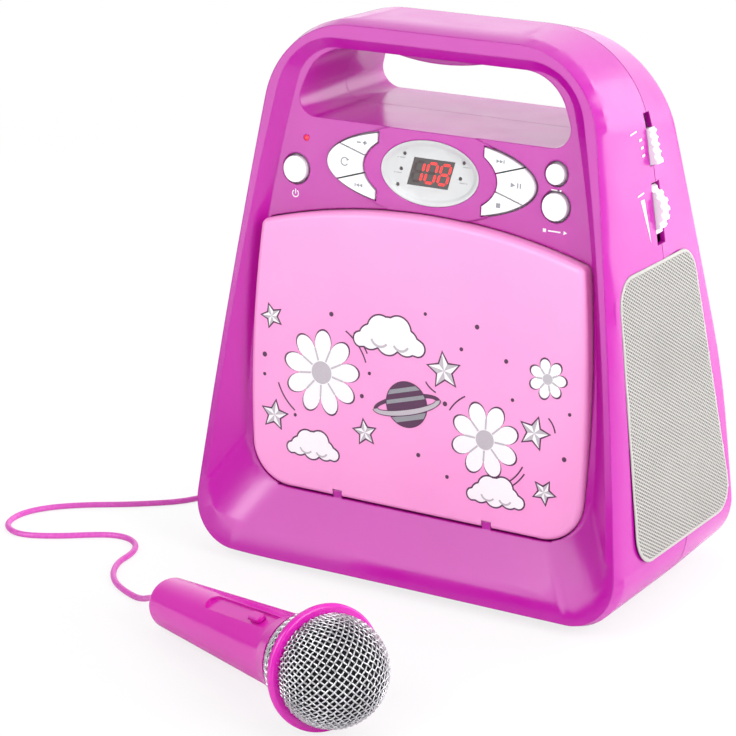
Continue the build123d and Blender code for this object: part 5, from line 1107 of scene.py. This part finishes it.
def woven_cone_tree(material):
    """Two families of wires that wind crosswise round a flared sleeve."""
    tree, given = geometry_tree("woven_sleeve", [
        ("Start Radius", "NodeSocketFloat"), ("End Radius", "NodeSocketFloat"), ("Bulge", "NodeSocketFloat"),
        ("Length", "NodeSocketFloat"), ("Wires", "NodeSocketInt"), ("Crossings", "NodeSocketInt"),
        ("Wire Radius", "NodeSocketFloat"), ("Swing", "NodeSocketFloat")])
    steps = math(tree, "ADD", math(tree, "MULTIPLY", given["Crossings"], 2.0), 1.0)
    apart = math(tree, "DIVIDE", 2 * pi, given["Wires"])
    share_by = math(tree, "DIVIDE", 0.5, given["Crossings"])
    woven = []
    for hand in (1.0, -1.0):
        lines = line_grid(tree, given["Wires"], steps, (0, 0, 0), vector(tree, 0.0, share_by),
                          vector(tree, apart), (0, 0, 0))
        spot = node(tree, "GeometryNodeInputPosition").outputs["Position"]
        parts = node(tree, "ShaderNodeSeparateXYZ", None, {"Vector": spot}).outputs
        share = parts["Y"]
        phase = math(tree, "MULTIPLY", share, given["Crossings"])
        lean = math(tree, "MULTIPLY", math(tree, "MULTIPLY", phase, apart), 0.5 * hand)
        angle = math(tree, "ADD", parts["X"], lean)
        straight = math(tree, "ADD", given["Start Radius"], math(tree, "MULTIPLY", share, math(
            tree, "SUBTRACT", given["End Radius"], given["Start Radius"])))
        crown = math(tree, "MULTIPLY", math(tree, "MULTIPLY", share, math(tree, "SUBTRACT", 1.0, share)), 4.0)
        radius = math(tree, "ADD", straight, math(tree, "MULTIPLY", crown, given["Bulge"]))
        radius = math(tree, "ADD", radius, wave(tree, phase, math(tree, "MULTIPLY", given["Swing"], hand)))
        place = vector(tree, math(tree, "MULTIPLY", radius, math(tree, "COSINE", angle)),
                       math(tree, "MULTIPLY", radius, math(tree, "SINE", angle)),
                       math(tree, "MULTIPLY", share, given["Length"]))
        moved = node(tree, "GeometryNodeSetPosition", None, {"Geometry": lines, "Position": place})
        woven.append(wires_from(tree, moved.outputs["Geometry"], False, given["Wire Radius"]))
    joined = node(tree, "GeometryNodeJoinGeometry")
    for part in woven[::-1]:
        tree.links.new(part, joined.inputs["Geometry"])
    finish_tree(tree, joined.outputs["Geometry"], material)
    return tree


def turned_mesh(name, profile, steps):
    """Closed solid of revolution about z from radius and height pairs that start and end on the axis."""
    points, rings = [], []
    for radius, height in profile:
        if radius == 0:
            rings.append([len(points)] * steps)
            points.append((0, 0, height))
        else:
            rings.append(list(range(len(points), len(points) + steps)))
            points += [(radius * cos(2 * pi * step / steps), radius * sin(2 * pi * step / steps), height)
                       for step in range(steps)]
    faces = []
    for low, high in zip(rings, rings[1:]):
        for step in range(steps):
            after = (step + 1) % steps
            face = list(dict.fromkeys((low[step], low[after], high[after], high[step])))
            if len(face) > 2:
                faces.append(face)
    mesh = from_points(name, points, faces)
    form = bmesh.new()
    form.from_mesh(mesh)
    bmesh.ops.recalc_face_normals(form, faces=form.faces)
    form.to_mesh(mesh)
    form.free()
    return mesh


def make_mic_basket(wire, foam):
    ring_near = MIC_REACH - RING_BACK - RING_THICK / 2
    ring_far = ring_near + RING_THICK
    skin = MIC_BALL - WIRE_RADIUS - WEAVE
    reach = skin * acos((ring_far - 0.6 - MIC_REACH) / skin)
    wires = 2 * ceil(reach / WIRE_PITCH) + 1
    empty = from_points("seed", [(0, 0, 0)], [])
    front = run_tree("mic_woven_front", woven_cap_tree(wire), empty, {
        "Ball Radius": skin, "Pitch": WIRE_PITCH, "Wire Radius": WIRE_RADIUS, "Swing": WEAVE, "Reach": reach,
        "Wires": wires})
    front.data.transform(MIC @ Matrix.Translation((0, 0, MIC_REACH)) @ Matrix.Rotation(BALL_TURN, 4, "Z"))
    even_shading(front.data, 80.0)
    dress(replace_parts(front, "mic_grille"), "microphone", "mesh_metal")
    start, wide = BASKET_START - WIRE_RADIUS - WEAVE, sqrt(MIC_BALL**2 - (ring_near - MIC_REACH) ** 2)
    end = wide - WIRE_RADIUS - WEAVE
    length = ring_near - MIC_NECK + 0.6
    middle = (start + end) / 2 + 2.2
    crossings = round(length * REAR_WIRES / (pi * middle))
    rear = run_tree("mic_woven_rear", woven_cone_tree(wire), from_points("seed", [(0, 0, 0)], []), {
        "Start Radius": start, "End Radius": end, "Bulge": 2.2, "Length": length, "Wires": REAR_WIRES,
        "Crossings": crossings, "Wire Radius": WIRE_RADIUS, "Swing": WEAVE})
    rear.data.transform(MIC @ Matrix.Translation((0, 0, MIC_NECK)))
    even_shading(rear.data, 80.0)
    dress(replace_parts(rear, "mic_basket"), "microphone", "mesh_metal")
    # foam liner: a hollow ball open towards the neck
    inner = skin - 1.2
    profile = [(BASKET_START - 2.6, MIC_NECK + 1.2)]
    for step in range(1, 9):
        share = step / 9
        radius = start - 1.4 + share * (end - start) + 4 * share * (1 - share) * 2.2
        profile.append((radius, MIC_NECK + share * length))
    low = acos((ring_near + 1.0 - MIC_REACH) / inner)
    for step in range(17):
        turn = low * (1 - step / 16)
        profile.append((inner * sin(turn) if step < 16 else 0, MIC_REACH + inner * cos(turn)))
    profile += [(0 if radius == 0 else radius - 1.6, height - (1.6 if height > MIC_REACH else 0))
                for radius, height in profile[::-1]]
    liner = turned_mesh("mic_foam_liner", profile + profile[:1], 48)
    liner.transform(MIC)
    even_shading(liner, 80.0)
    dress(shown("mic_foam_liner", liner), "microphone", "black_rubber", foam)


# ---------------------------------------------------------------- finishes of the model's own pieces
def shading_tree(limit):
    """Smooths a carried-over piece, edges sharper than the limit kept."""
    tree, given = geometry_tree("even_facets", [])
    angle = node(tree, "GeometryNodeInputMeshEdgeAngle").outputs["Unsigned Angle"]
    soft = node(tree, "FunctionNodeCompare", {"data_type": "FLOAT", "operation": "LESS_THAN"},
                {0: angle, 1: radians(limit)}).outputs["Result"]
    faces = node(tree, "GeometryNodeSetShadeSmooth", {"domain": "FACE"},
                 {"Geometry": given["Geometry"], "Shade Smooth": True}).outputs["Geometry"]
    edges = node(tree, "GeometryNodeSetShadeSmooth", {"domain": "EDGE"},
                 {"Geometry": faces, "Shade Smooth": soft}).outputs["Geometry"]
    node(tree, "NodeGroupOutput", None, {"Geometry": edges})
    return tree


def finish_nodes(finishes):
    """Materials and even shading for the nodes that keep their own shape."""
    tree = shading_tree(38.0)
    for name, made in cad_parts.items():
        material = finishes[name]
        for slot in made.material_slots:
            slot.material = material
        weld = made.modifiers.new("joined_facets", "WELD")
        weld.merge_threshold = 0.002 * MM
        even = made.modifiers.new("even_facets", "NODES")
        even.node_group = tree
        weight = made.modifiers.new("flat_faces_first", "WEIGHTED_NORMAL")
        weight.keep_sharp = True
        weight.weight = 60


def node_finishes():
    """Which finish each node of the model has."""
    body, white, black, steel = body_abs(), key_abs(), black_abs(), zinc_steel()
    board, mic = circuit_board(), mic_abs()
    groups = [
        (body, "front_shell rear_shell battery_door"), (door_abs(), "disc_door"), (well_abs(), "disc_well"),
        (dial_abs(), "display_fascia"), (smoked_acrylic(), "display_window"),
        (tinted_epoxy("smoked_epoxy_lamp", "5A4C50", "3E363A", 0.0), "indicator_leds"),
        (tinted_epoxy("red_epoxy_lamp", "F23A4C", "D81734", 0.35), "power_led"),
        (white, "volume_wheel function_knob key_left_upper key_left_middle key_left_lower key_right_upper "
                "key_right_middle key_right_lower key_left_round key_right_small key_right_large"),
        (black, "digit_module key_switches dc_socket mic_sockets spindle_hub pickup_sled mic_capsule"),
        (steel, "deck_plate spindle_motor guide_rods feed_motor feed_screw battery_contacts usb_socket case_screws "
                "volume_pot function_switch door_hinge_pins"),
        (board, "key_board main_board side_board"), (mic, "mic_body mic_gland mic_ring mic_switch_knob mic_plug"),
        (nitrile_rubber(), "rubber_feet deck_dampers"), (black_lacquer(), "speaker_baskets"),
        (sintered_ferrite(), "speaker_magnets"), (pulp_paper(), "speaker_cones"), (coated_lens(), "pickup_lens"),
    ]
    finishes = {name: material for material, names in groups for name in names.split()}
    return {name: finishes.get(name, steel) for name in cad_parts}


# ---------------------------------------------------------------- floor, backdrop and lamps
def stage_material(name, colour, camera_share):
    """Matt white stage; the camera sees it nearer to plain white, its shadows kept."""
    material = bpy.data.materials.new(name)
    material.use_nodes = True
    tree = material.node_tree
    tree.nodes.clear()
    place = node(tree, "ShaderNodeTexCoord").outputs["Object"]
    tone = between(tree, noise(tree, place, 400.0), 0.0, 1.0)
    matt = node(tree, "ShaderNodeBsdfDiffuse", None, {"Color": tinted(tree, tone, colour, "F4F4F5")})
    white = node(tree, "ShaderNodeEmission", None, {"Color": (1, 1, 1, 1), "Strength": 1.0})
    rays = node(tree, "ShaderNodeLightPath").outputs
    away = node(tree, "ShaderNodeVectorMath", {"operation": "LENGTH"}, {0: place}).outputs["Value"]
    seen = math(tree, "MULTIPLY", rays["Is Camera Ray"], between(tree, away, camera_share, 1.0, 0.45, 1.1))
    mixed = node(tree, "ShaderNodeMixShader", None, {
        0: seen, 1: matt.outputs["BSDF"],
        2: white.outputs["Emission"]})
    node(tree, "ShaderNodeOutputMaterial", None, {"Surface": mixed.outputs["Shader"]})
    return material


def softbox(name, place, aim, size, power, lights=True, shows=True):
    """Rectangular lamp; one that doesn't light is a card in reflections, one that doesn't show isn't in them."""
    lamp = bpy.data.lights.new(name, "AREA")
    lamp.shape = "RECTANGLE"
    lamp.size, lamp.size_y = size
    lamp.energy = power
    made = bpy.data.objects.new(name, lamp)
    made.location = place
    made.rotation_euler = (Vector(aim) - Vector(place)).to_track_quat("-Z", "Y").to_euler()
    made.visible_diffuse = lights
    made.visible_glossy = shows
    bpy.context.collection.objects.link(made)


def black_flag(name, corners):
    """Black card that only reflections see."""
    card = shown(name, from_points(name, corners, [tuple(range(len(corners)))]))
    material, tree, _ = new_material(name)
    black = node(tree, "ShaderNodeEmission", None, {"Color": (0, 0, 0, 1), "Strength": 0.0})
    node(tree, "ShaderNodeOutputMaterial", None, {"Surface": black.outputs["Emission"]})
    card.data.materials.append(material)
    for sight in ("camera", "diffuse", "shadow", "transmission", "volume_scatter"):
        setattr(card, "visible_" + sight, False)


SKY_STRENGTH = 0.42        # of the tent round the object
BACKDROP_STRENGTH = 1.5    # of its lit back, which shows in gloss and on upward faces
FLOOR_SEEN_WHITE = 0.8


def set_stage():
    corners = [(-6, -6, 0), (6, -6, 0), (6, 6, 0), (-6, 6, 0)]
    floor = shown("studio_floor", from_points("studio_floor", corners, [(0, 1, 2, 3)]))
    floor.data.materials.append(stage_material("matt_white_floor", "FFFFFF", FLOOR_SEEN_WHITE))
    world = bpy.data.worlds.new("studio")
    bpy.context.scene.world = world
    world.use_nodes = True
    tree = world.node_tree
    tree.nodes.clear()
    rays = node(tree, "ShaderNodeLightPath").outputs
    towards = node(tree, "ShaderNodeSeparateXYZ", None, {
        "Vector": node(tree, "ShaderNodeTexCoord").outputs["Generated"]}).outputs["Y"]
    lit = between(tree, towards, SKY_STRENGTH, BACKDROP_STRENGTH, 0.2, 0.8)
    strength = node(tree, "ShaderNodeMix", {"data_type": "FLOAT"}, {
        0: rays["Is Camera Ray"], 2: lit, 3: 1.0}).outputs[0]
    sky = node(tree, "ShaderNodeBackground", None, {"Color": (1, 1, 1, 1), "Strength": strength})
    node(tree, "ShaderNodeOutputWorld", None, {"Surface": sky.outputs["Background"]})
    bpy.context.scene.view_settings.view_transform = "Standard"
    middle = (0, 0, 0.12)
    softbox("softbox_front", (-0.3, -1.7, 1.45), middle, (1.0, 1.0), 17.0)
    softbox("softbox_right", (1.5, -0.35, 0.8), middle, (0.9, 1.1), 17.0)
    softbox("softbox_back_right", (0.75, 1.0, 0.45), middle, (0.8, 0.9), 5.0)
    softbox("softbox_top", (0.0, 0.1, 1.7), middle, (1.2, 1.0), 4.0)
    softbox("softbox_back", (0.35, 1.25, 0.55), (0, 0, 0.22), (0.8, 0.5), 6.0, shows=False)
    softbox("card_front_left", (-0.6, -1.0, 0.5), (0, -0.06, 0.15), (0.8, 1.0), 7.5, lights=False)
    black_flag("flag_left", [(-1.3, -0.42, 0.003), (-0.26, -0.42, 0.003), (-0.26, 0.9, 0.003), (-1.3, 0.9, 0.003)])


# ---------------------------------------------------------------- everything in order
place_camera()
finishes = node_finishes()
finish_nodes(finishes)
make_cord(flexible_pvc())
make_mic_basket(drawn_wire(), open_cell_foam())
make_grilles(powder_coated_steel(), speaker_felt())
# the dark ink prints the door's outlines and also paints the shade round the keys' openings
inks = {"dark": screen_ink("plum_screen_ink", "4A1F45", "552850"),
        "white": screen_ink("white_screen_ink", "FCFBFC", "F6F4F6"),
        "grey": screen_ink("grey_screen_ink", "C3BEC4", "B9B4BB"),
        "slate": screen_ink("slate_screen_ink", "8C8F94", "96999E")}
print_door(inks)
print_keys(inks["slate"])
# dark films of painted shade in the keys' gaps and the round keys' dishes
paint_key_gap_shade(inks["dark"])
print_panel(inks["white"], screen_ink("pale_slate_screen_ink", "A4A8AB", "ADB0B3"))
print_side(inks["white"])
light_display()
set_stage()
